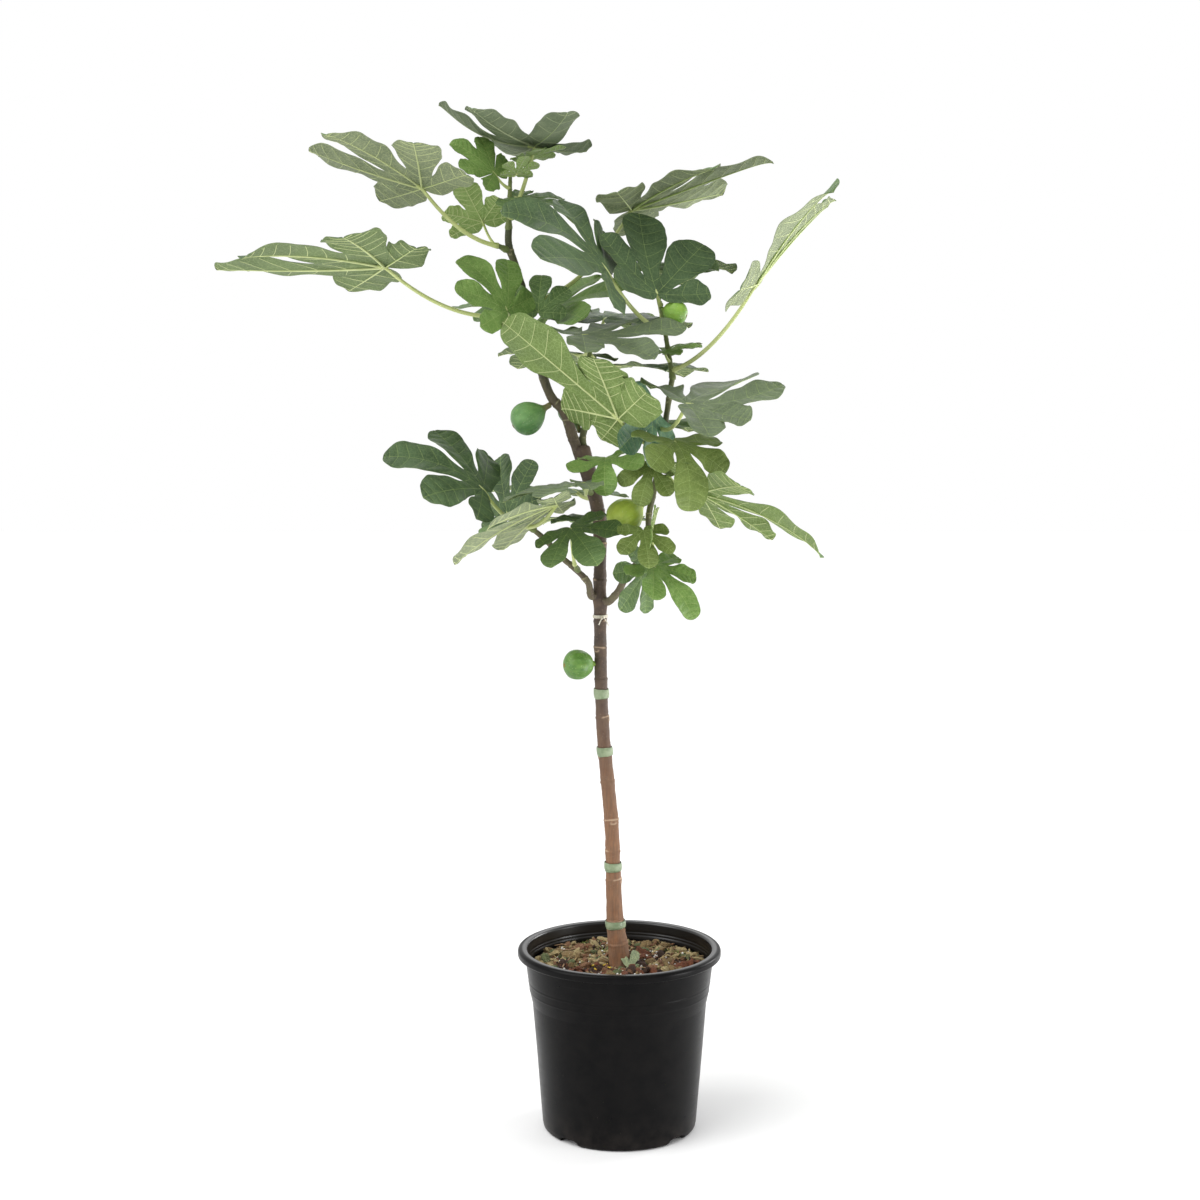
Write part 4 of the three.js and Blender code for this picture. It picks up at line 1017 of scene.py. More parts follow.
def thin_body(points, normals, faces, half, tones, uv):
    """A closed thin body round a sheet: the sheet moved out by half a thickness, its twin moved in, and a
    wall along every edge that only one face has."""
    count = len(points)
    corners = np.stack([faces, np.roll(faces, -1, axis=1)], axis=-1).reshape(-1, 2)
    corners = corners[corners[:, 0] != corners[:, 1]]
    three = faces[:, 2] == faces[:, 3]
    key = corners[:, 0] * count + corners[:, 1]
    rim = corners[~np.isin(key, corners[:, 1] * count + corners[:, 0])]
    wall = np.stack([rim[:, 1], rim[:, 0], rim[:, 0] + count, rim[:, 1] + count], axis=1)
    under = np.where(three[:, None], faces[:, [2, 1, 0, 0]], faces[:, ::-1]) + count
    flipped = np.where(three[:, None, None], uv[:, [2, 1, 0, 0]], uv[:, ::-1])
    squeeze = np.array([0.5, 1.0])
    return patch(
        np.vstack([points + half * normals, points - half * normals]),
        np.vstack([faces, under, wall]),
        np.repeat([tones[0], tones[1]], [len(faces), len(under) + len(wall)]),
        np.vstack([uv * squeeze, flipped * squeeze + (0.5, 0), np.full((len(wall), 4, 2), 0.5)]),
    )


def blade_piece(foot, leaf, tones, rng):
    """A leaf's blade as one closed body, the surface it lies on, and the rows that its veins follow."""
    place = blade_surface(foot, leaf)
    flats, lifts, quads, grids = [], [], [], []
    start = 0
    for lobe in lobe_plan(leaf):
        flat, lift = lobe_grid(lobe, (rng.uniform(0, 6.28), rng.uniform(1.4, 2.6), rng.uniform(-0.2, 1)))
        quads.append(start + weave(*lift.shape, close_columns=False)[0][:, [0, 3, 2, 1]])
        flats.append(flat.reshape(-1, 2))
        lifts.append(lift.ravel())
        grids.append((lobe, flat, lift))
        start += lift.size
    flat, lift, faces = np.vstack(flats), np.concatenate(lifts), np.vstack(quads)
    _, first, number = np.unique(np.round(flat, 7), axis=0, return_index=True, return_inverse=True)
    uv = 0.5 + flat[faces] / BLADE_SPAN
    faces = number.ravel()[faces]
    at_tip, at_foot = faces[:, 1] == faces[:, 2], faces[:, 0] == faces[:, 3]
    for closed, order in ((at_tip, [0, 1, 3, 3]), (at_foot, [0, 1, 2, 2])):
        faces[closed], uv[closed] = faces[closed][:, order], uv[closed][:, order]
    points, normals = place(flat[first], lift[first] * leaf["blade"])
    return thin_body(points, normals, faces, BLADE_HALF_THICKNESS, tones, uv), place, grids


def vein(place, flat, lift, blade, radii, sides):
    """A vein as a closed tube that follows a row of the blade: its top stands just above the upper face,
    and the rest of it stands out below."""
    line, normals = place(flat, lift * blade - (radii - BLADE_HALF_THICKNESS - VEIN_PROUD))
    return tube(line, radii, sides, up=normals, slots=(0, 1))


def vein_pieces(place, grids, blade):
    """The rib of each lobe, thinner in the two outer ones, and its side veins along every fifth row."""
    made = []
    middle = COLUMNS // 2
    fade = 1 - np.arange(middle) / middle
    for lobe, flat, lift in grids:
        reach = np.linspace(0, 1, len(flat) - 1)
        thick = RIB_SHARE * blade * (0.75 if lobe["heel"] else 1.0)
        radii = np.maximum(THIN_VEIN, thick * (1 - reach) ** 0.8)
        made.append(vein(place, flat[:-1, middle], lift[:-1, middle], blade, radii, RIB_SIDES))
        for k in range(lobe["veins"]):
            row = INNER_ROWS + ROWS_PER_VEIN * k
            radii = np.maximum(0.85 * THIN_VEIN, SIDE_VEIN_SHARE * blade * (1 - 0.07 * k) * fade**0.6)
            for step in (-1, 1):
                columns = middle + step * np.arange(middle)
                made.append(vein(place, flat[row, columns], lift[row, columns], blade, radii, VEIN_SIDES))
    return made


def stalk_piece(start, foot, leaf, place):
    """A leaf stalk: a quadratic curve that bows down from its stem to the blade's foot and runs on under
    the rib, swollen where it joins the stem."""
    reach = leaf["reach"]
    bow = (start + foot) / 2 - (0, 0, STALK_SAG * reach)
    t = np.linspace(0, 1, max(10, int(reach / 6)))[:, None]
    curve = (1 - t) ** 2 * start + 2 * t * (1 - t) * bow + t**2 * foot
    under, _ = place(np.array([[0.0, 0], [0.025, 0], [0.055, 0]]), np.array([-0.7, -0.9, -0.9]))
    line = resample(np.vstack([curve[:-1], under]), max(16, int(reach / 4)))
    size = math.sqrt(min(1.0, leaf["blade"] / LARGE_BLADE))
    share = np.linspace(0, 1, len(line))
    swollen = 1 + 0.38 * bell(share * (reach + 5), 0, 7.0)
    return tube(line, size * (STALK_RADIUS + (STALK_TIP_RADIUS - STALK_RADIUS) * share) * swollen, 12)


RING_SPACING = 9.0        # from one ring on a stem to the next


def stem_piece(foot, direction, length, radius, tip_radius):
    """A short stem with rings where leaves stood, swollen at its foot and narrowing to the end where its
    bud sits.
    """
    reach = np.linspace(-ROOTED, length, max(16, int(length / 1.1)))
    line = foot + direction * reach[:, None]
    rings_at = 0.45 * bell(reach % RING_SPACING, RING_SPACING / 2, 0.8) + 1.2 * bell(reach, 0, 3.5)
    return tube(line, np.interp(reach, [0, length], [radius, tip_radius]) + rings_at, 20)


def bud_piece(end, direction, radius, length):
    """A pointed bud, r = R sqrt(sin(pi t^0.7)) (1 - t)^0.35, wrapped in two scales that overlap."""
    t = np.linspace(0.02, 0.985, 18)
    swell = np.sqrt(np.sin(np.pi * t**0.7)) * (1 - t) ** 0.35
    seam = 1 + 0.08 * np.sign(np.sin(circle(16)[None] + 4.0 * t[:, None])) * (1 - t[:, None])
    return tube(end + direction * (t * length)[:, None], radius * swell[:, None] * seam, 16)


LAST_PLACE = 0.97         # no stalk starts beyond this share of its stem
SHORT_STEM = 30           # a stem under this length has a short bud
SHORT_BUD, LONG_BUD = 9, 14
leaf_rng = np.random.default_rng(20)
stems = {}
for mass_name, mass in MASSES.items():
    heading, rise, length, radius, tip_radius = mass["stem"]
    direction = aim(heading, rise)
    foot = foot_on(mass["on"], mass["at"], direction, radius)
    end = foot + direction * length
    stems[mass_name] = (foot, end)
    tops = sorted({row["tone"] for row in mass["leaves"]})
    unders = sorted({row["under"] for row in mass["leaves"]})
    blades, veins, stalks = [], [], []
    for row in mass["leaves"]:
        start = foot + (end - foot) * min(row["at"], LAST_PLACE)
        blade_foot = start + aim(row["heading"], row["rise"]) * row["reach"]
        tones = (tops.index(row["tone"]), len(tops) + unders.index(row["under"]))
        blade, place, grids = blade_piece(blade_foot, row, tones, leaf_rng)
        blades.append(blade)
        veins += vein_pieces(place, grids, row["blade"])
        stalks.append(stalk_piece(start, blade_foot, row, place))
    finishes = [LEAF_TOPS[tone] for tone in tops] + [LEAF_UNDERS[tone] for tone in unders]
    made = make_piece(mass_name + "_blades", join(blades), finishes, sharp=50)
    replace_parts(made, mass_name)
    below = VEIN_DUSK if "dusk" in unders else VEIN_UNDER
    make_piece(mass_name + "_veins", join(veins), [VEIN_TOP, below])
    make_piece(mass_name + "_stalks", join(stalks), [STALK])
    stem = stem_piece(foot, direction, length, radius, tip_radius)
    make_piece(mass_name + "_stem", stem, [YOUNG_WOOD])
    bud = bud_piece(end, direction, 0.95 * tip_radius, SHORT_BUD if length < SHORT_STEM else LONG_BUD)
    make_piece(mass_name + "_bud", bud, [BUD])


# ---------------------------------------------------------------- figs
# The outline of a fig's body as pairs of radius and height, and half the width of its neck, in shares of
# its radius.
FIG_BODY = [(0.6, -0.84), (0.93, -0.35), (1.0, 0.12), (0.84, 0.58), (0.45, 0.88)]
FIG_NECK = 0.17
# The two rings of scales of a fig's eye: radius, number, size of a scale, and how far the ring is turned.
EYE_RINGS = ((0.15, 7, 0.11, 0.0), (0.085, 5, 0.08, 0.5))
EYE_HEIGHT = 0.925        # where its dome begins, in the same shares
SHADED_SHARE = 0.7              # how much of a fig's height its painted shade fades over
BROAD_RIBS, FINE_RIBS = 14, 31


def fig_piece(foot, axis, radius, reach, rng):
    """A fig: its outline of pairs of radius and height is smoothed and turned about its own axis, with
    faint ribs that fade towards its ends, soft dents, and a dimpled end."""
    neck_top = -0.3 * reach - 0.7 * radius
    neck = [(1, -reach), (1.02, -0.75 * reach - 0.25 * radius), (1.3, neck_top)]
    outline = [(wide * FIG_NECK * radius, z) for wide, z in neck]
    outline += [(across * radius, up * radius) for across, up in FIG_BODY]
    outline += [(0.2 * radius, 0.945 * radius)]
    line = smooth_line([(r, 0, z) for r, z in outline], 84)
    profile = [(0, -reach - 2), *[(r, z) for r, _, z in line], (0, EYE_HEIGHT * radius)]
    phase = rng.uniform(0, 6.28)

    def ribbed(r, z, a):
        up = z / radius
        grown = smoothstep(up, -0.85, -0.2) * (1 - smoothstep(up, 0.55, 0.95))
        place = np.stack([r * np.cos(a), r * np.sin(a), z], axis=-1) + 50 * phase
        dents = 0.012 * lattice_noise(place, 0.7 * radius, 4) * grown
        broad, fine = np.cos(BROAD_RIBS * a + phase), np.cos(FINE_RIBS * a - phase)
        ribs = 0.014 * broad * grown + 0.006 * fine * grown
        low_ring, top_ring = bell(up * radius, -reach + 2.2, 1.1), bell(up * radius, neck_top + 2, 1.4)
        return r * (1 + dents + ribs - 0.016 + (0.05 * low_ring + 0.05 * top_ring)), z

    turn, centre = turn_to(axis), foot + axis * reach
    return moved(turned(profile, 72, ribbed), turn, centre), turn, centre


def eye_piece(turn, centre, radius):
    """The eye at the end of a fig: two rings of small pointed scales laid over a low dome. A scale is a
    patch of a cone, wide at its foot and closed to a point at the middle."""
    scales = []
    t = np.linspace(0, 1, 7)[:, None]
    around = circle(8)
    flat = np.sqrt(1 / (np.cos(around) ** 2 * 14 + np.sin(around) ** 2))
    up = np.array([0, 0, 1.0])
    for ring_radius, count, size, twist in EYE_RINGS:
        broad = size * 0.55 * np.sqrt(np.maximum(0.02, 1 - t[:, 0] ** 2))
        for k in range(count):
            angle = 2 * np.pi * (k + twist) / count
            out = np.array([math.cos(angle), math.sin(angle), 0])
            dome = EYE_HEIGHT * up + 0.045 * up * np.sin(np.pi * t * 0.6)
            line = out * ring_radius * (1 - 0.85 * t) + dome
            scales.append(tube(line, broad[:, None] * flat, 8, up=up))
    whole = join(scales)
    return moved({**whole, "points": whole["points"] * radius}, turn, centre)


fig_rng = np.random.default_rng(9)
for fig_name, (parent, at, heading, rise, radius, reach, skin_name) in FIGS.items():
    axis = aim(heading, rise)
    on_stem = parent in stems
    if on_stem:
        stem_foot, stem_end = stems[parent]
        foot = stem_foot + (stem_end - stem_foot) * at
    else:
        foot = foot_on(parent, at, axis, FIG_NECK * radius)
    piece, turn, centre = fig_piece(foot, axis, radius, reach, fig_rng)
    low, high = centre[2] - radius, centre[2] + radius
    tints = FIG_SKINS[skin_name]
    skin = fig_finish("fig_skin_" + fig_name, *tints, low * MM, (low + SHADED_SHARE * (high - low)) * MM)
    made = make_piece(fig_name + "_skin", piece, [skin])
    if not on_stem:
        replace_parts(made, fig_name)
    make_piece(fig_name + "_eye", eye_piece(turn, centre, radius), [FIG_EYE_FINISH])


# ---------------------------------------------------------------- pot
POT_SIDES = 240
WALL_RINGS = ((COLLAR_FOOT, 0.22), (207.5, 0.28), (210.0, -0.1))      # height, and how far each stands out
INNER_GROOVES = (239.0, 235.0)
RIM_TOP_ROUND, RIM_FOOT_ROUND, RIM_INNER_ROUND = 4.6, 2.4, 3.4
NOTCH_EDGE = 0.6          # half the width of the ramp at the inner end of a drain notch
RING_WIDTH, GROOVE_DEPTH = 1.1, 0.5


def wall_radius(height):
    """Outside radius of the wall at a height below the rim: the lower wall, the shoulder, the collar."""
    return np.interp(height, [0, SHOULDER_FOOT, COLLAR_FOOT, POT_HEIGHT - RIM_DEPTH],
                     [BASE_RADIUS, SHOULDER_RADIUS, COLLAR_FOOT_RADIUS, COLLAR_RADIUS])


def arc(centre, radius, first, last, count):
    """Points of a round corner: centre + radius (cos a, sin a)."""
    angles = np.radians(np.linspace(first, last, count))
    return [(centre[0] + radius * math.cos(a), centre[1] + radius * math.sin(a)) for a in angles]


def pot_outline():
    """The pot's section, up the outside and down the inside, with its rolled rim, its step and the
    shallow rings moulded into both faces."""
    rim_foot = POT_HEIGHT - RIM_DEPTH
    notch = BASE_RADIUS - DRAIN["depth"]
    outline = [(r, 0) for r in (0, 40, notch - NOTCH_EDGE, notch, notch + NOTCH_EDGE)]
    outline += arc((BASE_RADIUS - CORNER_RADIUS, CORNER_RADIUS), CORNER_RADIUS, -90, 0, 9)
    for z in np.unique(np.concatenate([np.linspace(8.5, rim_foot - 3, 96), np.linspace(172, 212, 60)])):
        ridges = sum(high * math.exp(-(((z - ring) / RING_WIDTH) ** 2)) for ring, high in WALL_RINGS)
        outline.append((wall_radius(z) + ridges, z))
    outline += [(COLLAR_RADIUS + 0.3, rim_foot - 0.8), (COLLAR_RADIUS + 1.6, rim_foot)]
    inner_top = wall_radius(rim_foot) - POT_WALL
    for x, z, radius, *turn in (
        (RIM_RADIUS - RIM_FOOT_ROUND, rim_foot + RIM_FOOT_ROUND, RIM_FOOT_ROUND, -90, 0, 7),
        (RIM_RADIUS - RIM_TOP_ROUND, POT_HEIGHT - RIM_TOP_ROUND, RIM_TOP_ROUND, 0, 90, 10),
        (inner_top + RIM_INNER_ROUND, POT_HEIGHT - RIM_INNER_ROUND, RIM_INNER_ROUND, 95, 178, 9),
    ):
        outline += arc((x, z), radius, *turn)
    for z in np.linspace(rim_foot - 1, COLLAR_FOOT + 3, 40):
        groove = sum(GROOVE_DEPTH * math.exp(-((z - ring) ** 2)) for ring in INNER_GROOVES)
        outline.append((wall_radius(z) - POT_WALL + groove, z))
    inner = BASE_RADIUS - POT_WALL
    outline += [(COLLAR_FOOT_RADIUS - POT_WALL, COLLAR_FOOT), (SHOULDER_RADIUS - POT_WALL, SHOULDER_FOOT),
                (inner, POT_FLOOR + 3), (inner - 3, POT_FLOOR), (0, POT_FLOOR)]
    return outline


def drained(r, z, a):
    """Lifts the pot's foot into an arch at each drain notch, and lets the moulding wander a little."""
    first = math.radians(DRAIN["first"])
    quarter = 2 * np.pi / DRAIN["count"]
    notch = BASE_RADIUS - DRAIN["depth"]
    off = (a - first + quarter / 2) % quarter - quarter / 2
    across = np.abs(off) * BASE_RADIUS / (DRAIN["width"] / 2)
    arch = DRAIN["height"] * np.sqrt(np.maximum(0, 1 - across**6)) * (across < 1)
    outer = smoothstep(r, notch - NOTCH_EDGE / 2, notch + NOTCH_EDGE / 2)
    lifted = np.where(r > notch - NOTCH_EDGE / 2 - 0.2, np.maximum(z, arch * outer), z)
    wander = 0.35 * np.sin(3 * a + 0.02 * z) * smoothstep(z, 20, 150)
    return r + wander, lifted


pot = make_piece("pot_shell", turned(pot_outline(), POT_SIDES, drained), [POT], sharp=40)
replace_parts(pot, "pot")


# ---------------------------------------------------------------- soil and what lies on it
soil_rng = np.random.default_rng(77)
DARK_MIDDLE, DARK_RADIUS = (22, -30), 74      # the ground is darker round here
MOSS_TUFTS, MOSS_BLADES = 26, 34
SOIL_NOISE = ((3.6, 34, 21), (2.0, 13, 22), (0.9, 5, 23))      # height, size and seed
MOUND_HEIGHT, MOUND_REACH = 3.5, 26
MOUND_FORWARD = 8         # how far the mound round the trunk lies before the middle
SOIL_GAP = 3 * GAP


def inside(height):
    """Radius of the soil at a height, a little inside the wall."""
    return wall_radius(height) - POT_WALL - SOIL_GAP


SOIL_RADIUS = inside(SOIL_LEVEL)


def soil_height(x, y):
    """Height of the soil: its level, rough noise in three sizes, and a slight mound round the trunk."""
    place = np.stack([x, y, 0 * x], axis=-1)
    noise = sum(high * lattice_noise(place, size, seed) for high, size, seed in SOIL_NOISE)
    edge = smoothstep(np.hypot(x, y), SOIL_RADIUS - 14, SOIL_RADIUS)
    mound = MOUND_HEIGHT * bell(np.hypot(x, y + MOUND_FORWARD), 0, MOUND_REACH)
    return SOIL_LEVEL - 1.0 + noise * (1 - 0.7 * edge) + mound - 2.0 * edge


def soil_relief(r, z, a):
    """The top face takes the soil's height, and the sides stay as they are."""
    return r, np.where(z > SOIL_LEVEL - 1, soil_height(r * np.cos(a), r * np.sin(a)), z)


soil_bottom = max(POT_FLOOR, DRAIN["height"]) + 1
soil_outline = [(0, soil_bottom), (BASE_RADIUS - DRAIN["depth"] - POT_WALL, soil_bottom),
                (inside(soil_bottom + 20), soil_bottom + 20), (inside(SHOULDER_FOOT), SHOULDER_FOOT),
                (inside(COLLAR_FOOT), COLLAR_FOOT), (inside(SOIL_LEVEL - 5), SOIL_LEVEL - 5)]
soil_outline += [(r, SOIL_LEVEL) for r in np.linspace(inside(SOIL_LEVEL - 4), 1.5, 78)]
soil_outline += [(0, SOIL_LEVEL + 1.0)]
soil = make_piece("soil_bed", turned(soil_outline, 200, soil_relief), [SOIL])
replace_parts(soil, "soil")


def pebble_template(levels, sides):
    """A small round body of rings of points and two poles, of radius 1."""
    up = np.radians(np.linspace(-90, 90, levels + 2)[1:-1])
    out, turn = np.cos(up)[:, None], circle(sides)
    ring = np.stack([out * np.cos(turn), out * np.sin(turn),
                     np.broadcast_to(np.sin(up)[:, None], (levels, sides))], axis=-1).reshape(-1, 3)
    faces, uv = rings(levels, sides)
    return np.vstack([ring, [[0, 0, -1], [0, 0, 1]]]), faces, uv


def rolled(one, two, angle):
    """Two coordinates turned by an angle: (one cos a - two sin a, one sin a + two cos a)."""
    return one * np.cos(angle) - two * np.sin(angle), one * np.sin(angle) + two * np.cos(angle)


def scattered(count, sizes, boxy, tones, rng, reach=SOIL_RADIUS - 4, bury=0.25, tilt=0.5, middle=(0, 0),
              fine=(4, 6), rough=0.22):
    """Many small bodies on the soil as one patch: each takes the template with its points pushed towards
    a box and jittered, sized, tilted, turned and set on the soil at a seeded place. tones holds the
    chances of each tone on dark ground and on pale ground, and soft noise says which ground is where."""
    base, faces, uv = pebble_template(*fine)
    squared = np.sign(base) * np.abs(base) ** boxy
    shape = squared[None] * (1 + rough * rng.uniform(-1, 1, (count, len(base), 1)))
    size = np.stack([rng.uniform(*pair, count) for pair in sizes], axis=-1) / 2
    shape = shape * size[:, None]
    lean = rng.normal(0, tilt, (count, 2))
    x, y, z = shape[..., 0], shape[..., 1], shape[..., 2]
    y, z = rolled(y, z, lean[:, :1])
    x, z = rolled(x, z, lean[:, 1:])
    x, y = rolled(x, y, rng.uniform(0, 2 * np.pi, (count, 1)))
    far, way = reach * np.sqrt(rng.uniform(0.02, 1, (count, 1))), rng.uniform(0, 2 * np.pi, (count, 1))
    far = np.minimum(far, SOIL_RADIUS - 1 - size[:, :2].max(axis=1, keepdims=True))
    cx, cy = middle[0] + far * np.cos(way), middle[1] + far * np.sin(way)
    ground = soil_height(cx, cy) + size[:, 2:3] * (1 - 2 * bury)
    points = np.stack([x + cx, y + cy, z + ground], axis=-1).reshape(-1, 3)
    all_faces = (faces[None] + (np.arange(count) * len(base))[:, None, None]).reshape(-1, 4)
    side, tiles = tiled(count)
    all_uv = (tiles[:, None, None] + (0.05 + 0.9 * uv[None]) / side).reshape(-1, 4, 2)
    spot = np.concatenate([cx, cy, 0 * cx], axis=1)
    pale_ground = lattice_noise(spot, 40, 31) + 0.5 * lattice_noise(spot, 15, 32)
    off = np.hypot(cx[:, 0] - DARK_MIDDLE[0], cy[:, 0] - DARK_MIDDLE[1]) - DARK_RADIUS
    dark_tone, pale_tone = [rng.choice(len(chances), count, p=chances) for chances in tones]
    dealt = np.repeat(np.where(pale_ground + 0.011 * off > 0, pale_tone, dark_tone), len(faces))
    return patch(points, all_faces, dealt, all_uv)


def strands(count, length, radius, rng, spread=0.5, reach=SOIL_RADIUS - 10):
    """Thin curved strands that lie on the soil: each is a tube along a shallow arc a little above it."""
    made = []
    for _ in range(count):
        far, angle = reach * math.sqrt(rng.uniform(0.03, 1)), rng.uniform(0, 2 * np.pi)
        long, way, curl = rng.uniform(*length), rng.uniform(0, 2 * np.pi), rng.normal(0, spread)
        t = np.linspace(-0.5, 0.5, 9)
        x = far * math.cos(angle) + long * (t * math.cos(way) - curl * t * t * math.sin(way))
        y = far * math.sin(angle) + long * (t * math.sin(way) + curl * t * t * math.cos(way))
        pull = np.minimum(1, (SOIL_RADIUS - 3) / np.maximum(np.hypot(x, y), 1))
        x, y = x * pull, y * pull
        z = soil_height(x, y) + rng.uniform(0.6, 3.0) + 2.5 * rng.uniform(0, 1) * np.sin(2.5 * t)
        thick = rng.uniform(*radius)
        made.append(tube(np.stack([x, y, z], axis=1), thick * (1 - 1.2 * t * t), 5))
    return join(made)


# Chances of each finish in CHIPS, on dark ground and on pale ground.
GROUND_TONES = ([0.34, 0.28, 0.22, 0.11, 0.03, 0.02], [0.08, 0.08, 0.18, 0.26, 0.27, 0.13])
ONE_TONE = ([1.0], [1.0])
CLUMP_TONES = ([0.5, 0.3, 0.1, 0.05, 0.0, 0.05], [0.0, 0.02, 0.1, 0.28, 0.38, 0.22])
for name, count, sizes, boxy, tones, finishes, settings in (
    ("soil_clumps", 135, ((9, 24), (8, 17), (5, 10)), 1.0, CLUMP_TONES, CHIPS,
     {"bury": 0.3, "fine": (10, 16), "rough": 0.2}),
    ("soil_chips", 420, ((4.5, 16), (3, 9), (1.6, 4.5)), 0.6, GROUND_TONES, CHIPS, {}),
    ("soil_crumbs", 3600, ((1.6, 5.5), (1.4, 4.5), (1, 3.4)), 0.8, GROUND_TONES, CHIPS, {"bury": 0.35}),
    ("soil_grit", 190, ((1.6, 5), (1.6, 4.4), (1.4, 3.6)), 0.8, ONE_TONE, [GRIT], {"bury": -0.15}),
    ("soil_yellow_bits", 10, ((5, 9), (2, 4), (1, 2)), 0.7, ONE_TONE, [YELLOW_BIT],
     {"reach": 16, "middle": (-27, -24), "bury": -0.9}),
):
    make_piece(name, scattered(count, sizes, boxy, tones, soil_rng, **settings), finishes, sharp=38)
make_piece("soil_straw", strands(42, (10, 46), (0.3, 0.7), soil_rng), [STRAW])
make_piece("soil_twigs", strands(16, (30, 70), (0.7, 1.3), soil_rng, spread=0.25), [DRY_TWIG])


def moss_piece(rng):
    """Tufts of moss: in each, short pointed blades lean out from its middle."""
    made = []
    t = np.linspace(0, 1, 4)[:, None]
    for _ in range(MOSS_TUFTS):
        far, angle = (SOIL_RADIUS - 12) * math.sqrt(rng.uniform(0.1, 1)), rng.uniform(0, 2 * np.pi)
        centre = np.array([far * math.cos(angle), far * math.sin(angle)])
        for _ in range(MOSS_BLADES):
            off = rng.normal(0, 4.4, 2)
            x, y = centre + off
            foot = np.array([x, y, float(soil_height(np.array(x), np.array(y))) - 0.5])
            lean = np.array([off[0] * 0.12, off[1] * 0.12, rng.uniform(0.8, 1.5)])
            made.append(tube(foot + 2.4 * lean * t, 0.62 * (1 - 0.85 * t[:, 0]), 4))
    return join(made)


make_piece("soil_moss", moss_piece(soil_rng), [MOSS])

FALLEN_LEAF = leaf((0, 0, 0, 0), (60, 42, 40), (36, 30), "mid", cup=0.4, wide=0.75,
                   lobes=(0.4, 0.6, 1, 0.7, 0.4), cut=0.45)
fallen_foot = np.array([13.0, -31.0, SOIL_LEVEL + 0.5])
fallen, _, _ = blade_piece(fallen_foot, FALLEN_LEAF, (0, 1), leaf_rng)
make_piece("fallen_leaf", fallen, [LEAF_UNDERS["silver"], LEAF_UNDERS["under"]], sharp=50)


# ---------------------------------------------------------------- ties round the trunk
TAPE_SIDES = 96
TAPE_CLEAR = 0.9          # from the bark to the middle of the film


def tape_turn(at, width, lift, slope, phase):
    """One turn of tape: a thin rounded band whose height swings with the angle, so that it lies askew,
    and whose film is a little creased."""
    point, along, radius = along_limb("trunk", at)
    angle = circle(TAPE_SIDES)
    t = np.linspace(-1, 1, 9)
    there_and_back = np.concatenate([t, t[::-1]])[:, None]
    up = there_and_back * (width / 2) * (1 + 0.03 * np.sin(5 * angle + phase))[None]
    crease = 0.10 * np.sin(9 * angle + phase)[None] * np.cos(2.0 * there_and_back)
    film = 0.28 * np.sqrt(np.maximum(0, 1 - t**6))
    bulge = 0.35 * (1 - t**2)
    thick = np.concatenate([film + bulge, (-film + bulge)[::-1]])[:, None]
    askew = slope * np.sin(angle + phase)[None]
    from_axis, height = radius + TAPE_CLEAR + lift + crease + thick, up + askew
    return hoop(from_axis[::-1], height[::-1], TAPE_SIDES, point, along)


for tape_name, (at, width) in TAPES.items():
    turns = [tape_turn(at, width * 0.8, 0.0, 0.9, 0.4),
             tape_turn(at + 0.001, width * 0.78, 0.45, -0.9, 2.0)]
    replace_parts(make_piece(tape_name + "_turns", join(turns), [TAPE]), tape_name)


STRING_RADIUS = 0.68
STRING_TURNS = 3
STRING_STEP = 0.5
KNOT_ANGLE = 0.35         # how far the knot lies past the front, towards +X, in radians


def string_piece():
    """Three turns of two-ply string round the trunk, with a small knot and two short ends: a helix whose
    tube swells twice per turn of its own twist."""
    point, along, radius = along_limb("trunk", STRING_PLACE)
    turn = turn_to(along)
    made = []

    def strand(line):
        line = resample(line, max(24, int(np.sum(gaps_along(line)) / STRING_STEP)))
        reach = np.concatenate([[0], np.cumsum(gaps_along(line))])
        plies = 1 + 0.22 * np.cos(2 * circle(12)[None] - 2.6 * reach[:, None])
        made.append(tube(line @ turn.T + point, STRING_RADIUS * plies, 12))

    t = np.linspace(0, STRING_TURNS, 220)
    hug = radius + 1.0
    strand(np.stack([hug * np.cos(2 * np.pi * t), hug * np.sin(2 * np.pi * t), 1.35 * (t - 1.5)], axis=1))
    s = np.linspace(0, 2 * np.pi, 60)
    knot = np.stack([hug + 1.3 + 1.1 * np.cos(2 * s), 2.2 * np.sin(s), 1.9 * np.sin(3 * s)], axis=1)
    heading = -math.pi / 2 + KNOT_ANGLE - math.atan2(turn[1, 0], turn[0, 0])
    c, d = math.cos(heading), math.sin(heading)
    spin = np.array([[c, -d, 0], [d, c, 0], [0, 0, 1]])
    strand(knot @ spin.T)
    e = np.linspace(0, 1, 20)
    for way in (-1, 1):
        hang = -1 - 9 * e**1.5 - 2 * (way > 0) * e
        strand(np.stack([hug + 1.6 + 2.2 * np.sin(2 * e), way * (1.0 + 6 * e), hang], 1) @ spin.T)
    return join(made)


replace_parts(make_piece("string_turns", string_piece(), [CORD]), "string_tie")

# ---------------------------------------------------------------- camera, floor and light
LENS = 63.9
CAMERA_PLACE = (-0.027, -2.857, 1.090)
CAMERA_PITCH = 7.07
SENSOR_WIDTH = 36.0
FLOOR_REACH = 9
SKY_LIGHT = 0.78          # the strength of the white surroundings, which look full white themselves
SUN_POWER = 1.7
SUN_SPREAD = 50           # the angle the sun fills, in degrees, which makes its shadows soft
SUN_TILT, SUN_HEADING = 38, -62

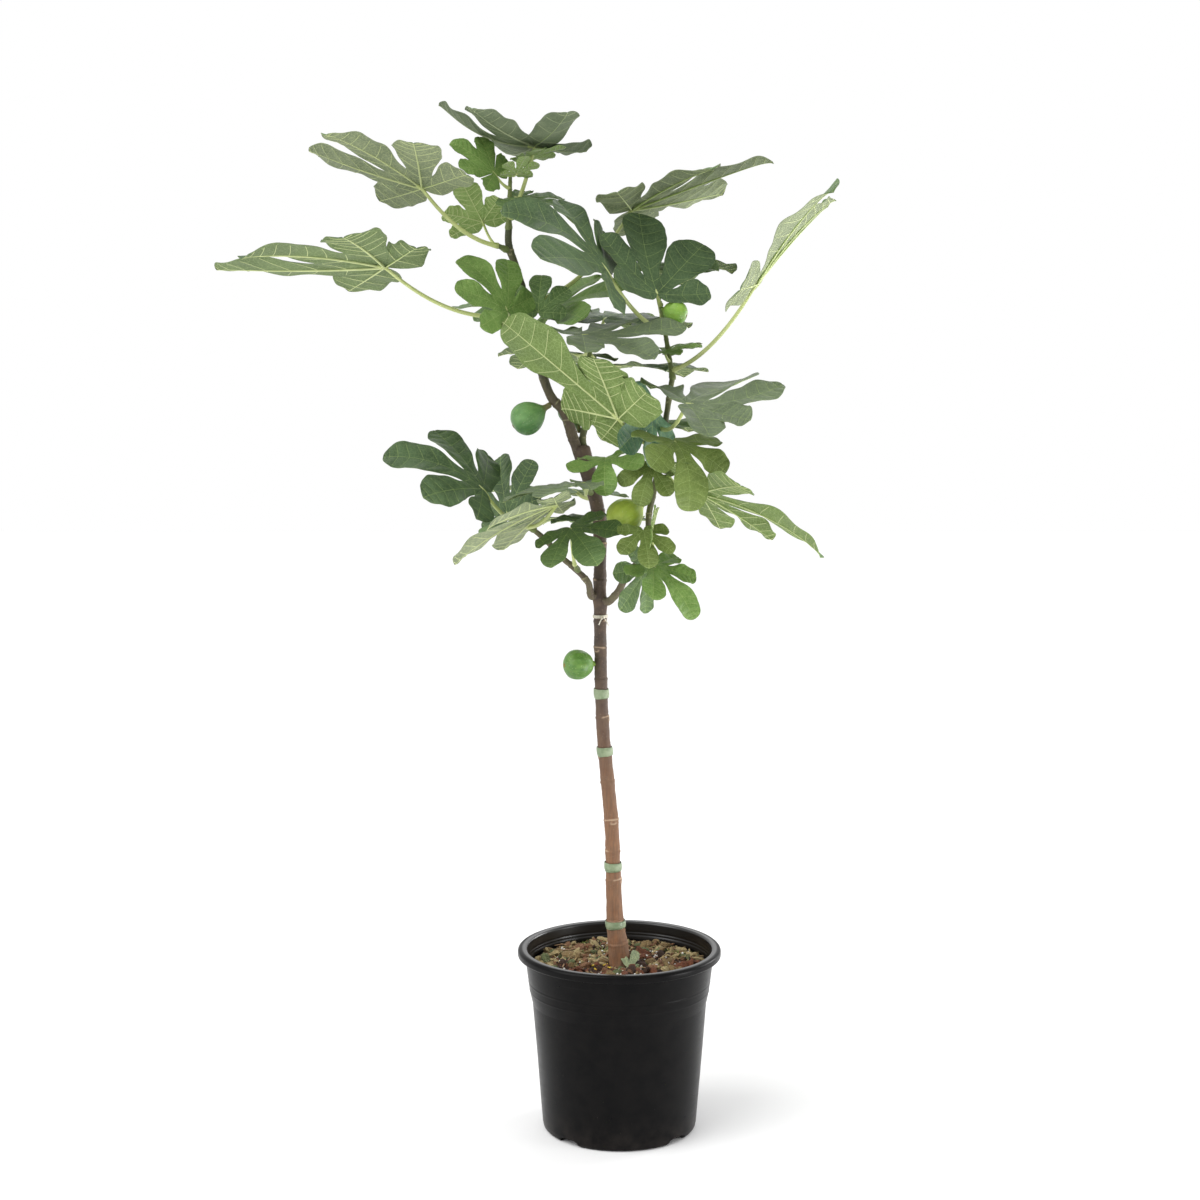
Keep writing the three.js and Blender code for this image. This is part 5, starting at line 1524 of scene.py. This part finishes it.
camera_data = bpy.data.cameras.new("camera")
camera_data.lens = LENS
camera_data.sensor_width = SENSOR_WIDTH
camera_turn = (math.radians(90 - CAMERA_PITCH), 0, 0)
bpy.context.scene.camera = put_object("camera", camera_data, CAMERA_PLACE, camera_turn)

floor_finish = bpy.data.materials.new("floor")
floor_finish.use_nodes = True
floor_shader = floor_finish.node_tree.nodes["Principled BSDF"]
floor_shader.inputs["Base Color"].default_value = (0.9, 0.9, 0.9, 1)
floor_shader.inputs["Roughness"].default_value = 0.9
floor_mesh = bpy.data.meshes.new("floor")
floor_corners = [(x * FLOOR_REACH, y * FLOOR_REACH, 0) for x, y in ((-1, -1), (1, -1), (1, 1), (-1, 1))]
floor_mesh.from_pydata(floor_corners, [], [(0, 1, 2, 3)])
floor_mesh.materials.append(floor_finish)
floor = put_object("floor", floor_mesh)

world = bpy.data.worlds.new("studio")
world.use_nodes = True
sky = Pattern(world.node_tree)
background = sky.tree.nodes["Background"]
background.inputs["Color"].default_value = WHITE
seen = sky.node("LightPath")["Is Camera Ray"]
strength = sky.node("MapRange", {"Value": seen, "To Min": SKY_LIGHT, "To Max": 1.0})["Result"]
sky.tree.links.new(strength, background.inputs["Strength"])
bpy.context.scene.world = world
bpy.context.scene.view_settings.view_transform = "Standard"


def soft_light(name, place, target, width, power):
    """A square area light that faces a place."""
    data = bpy.data.lights.new(name, "AREA")
    data.size, data.energy = width, power
    way = np.asarray(target, float) - np.asarray(place, float)
    tilt, heading = math.acos(-way[2] / np.linalg.norm(way)), math.atan2(way[1], way[0]) - math.pi / 2
    put_object(name, data, place, (tilt, 0, heading))


sun_data = bpy.data.lights.new("key_light", "SUN")
sun_data.energy = SUN_POWER
sun_data.angle = math.radians(SUN_SPREAD)
put_object("key_light", sun_data, turn=(math.radians(SUN_TILT), 0, math.radians(SUN_HEADING)))
soft_light("side_light", (-1.7, -0.9, 1.0), (0, 0, 0.5), 0.9, 7)
soft_light("low_light", (1.7, -0.6, 0.25), (0, 0, 0.1), 0.5, 14)
soft_light("rim_light", (2.0, 1.3, 0.9), (0, 0, 0.3), 0.9, 20)
soft_light("back_light", (0.5, 2.6, 2.4), (0, 0, 0.9), 1.8, 12)
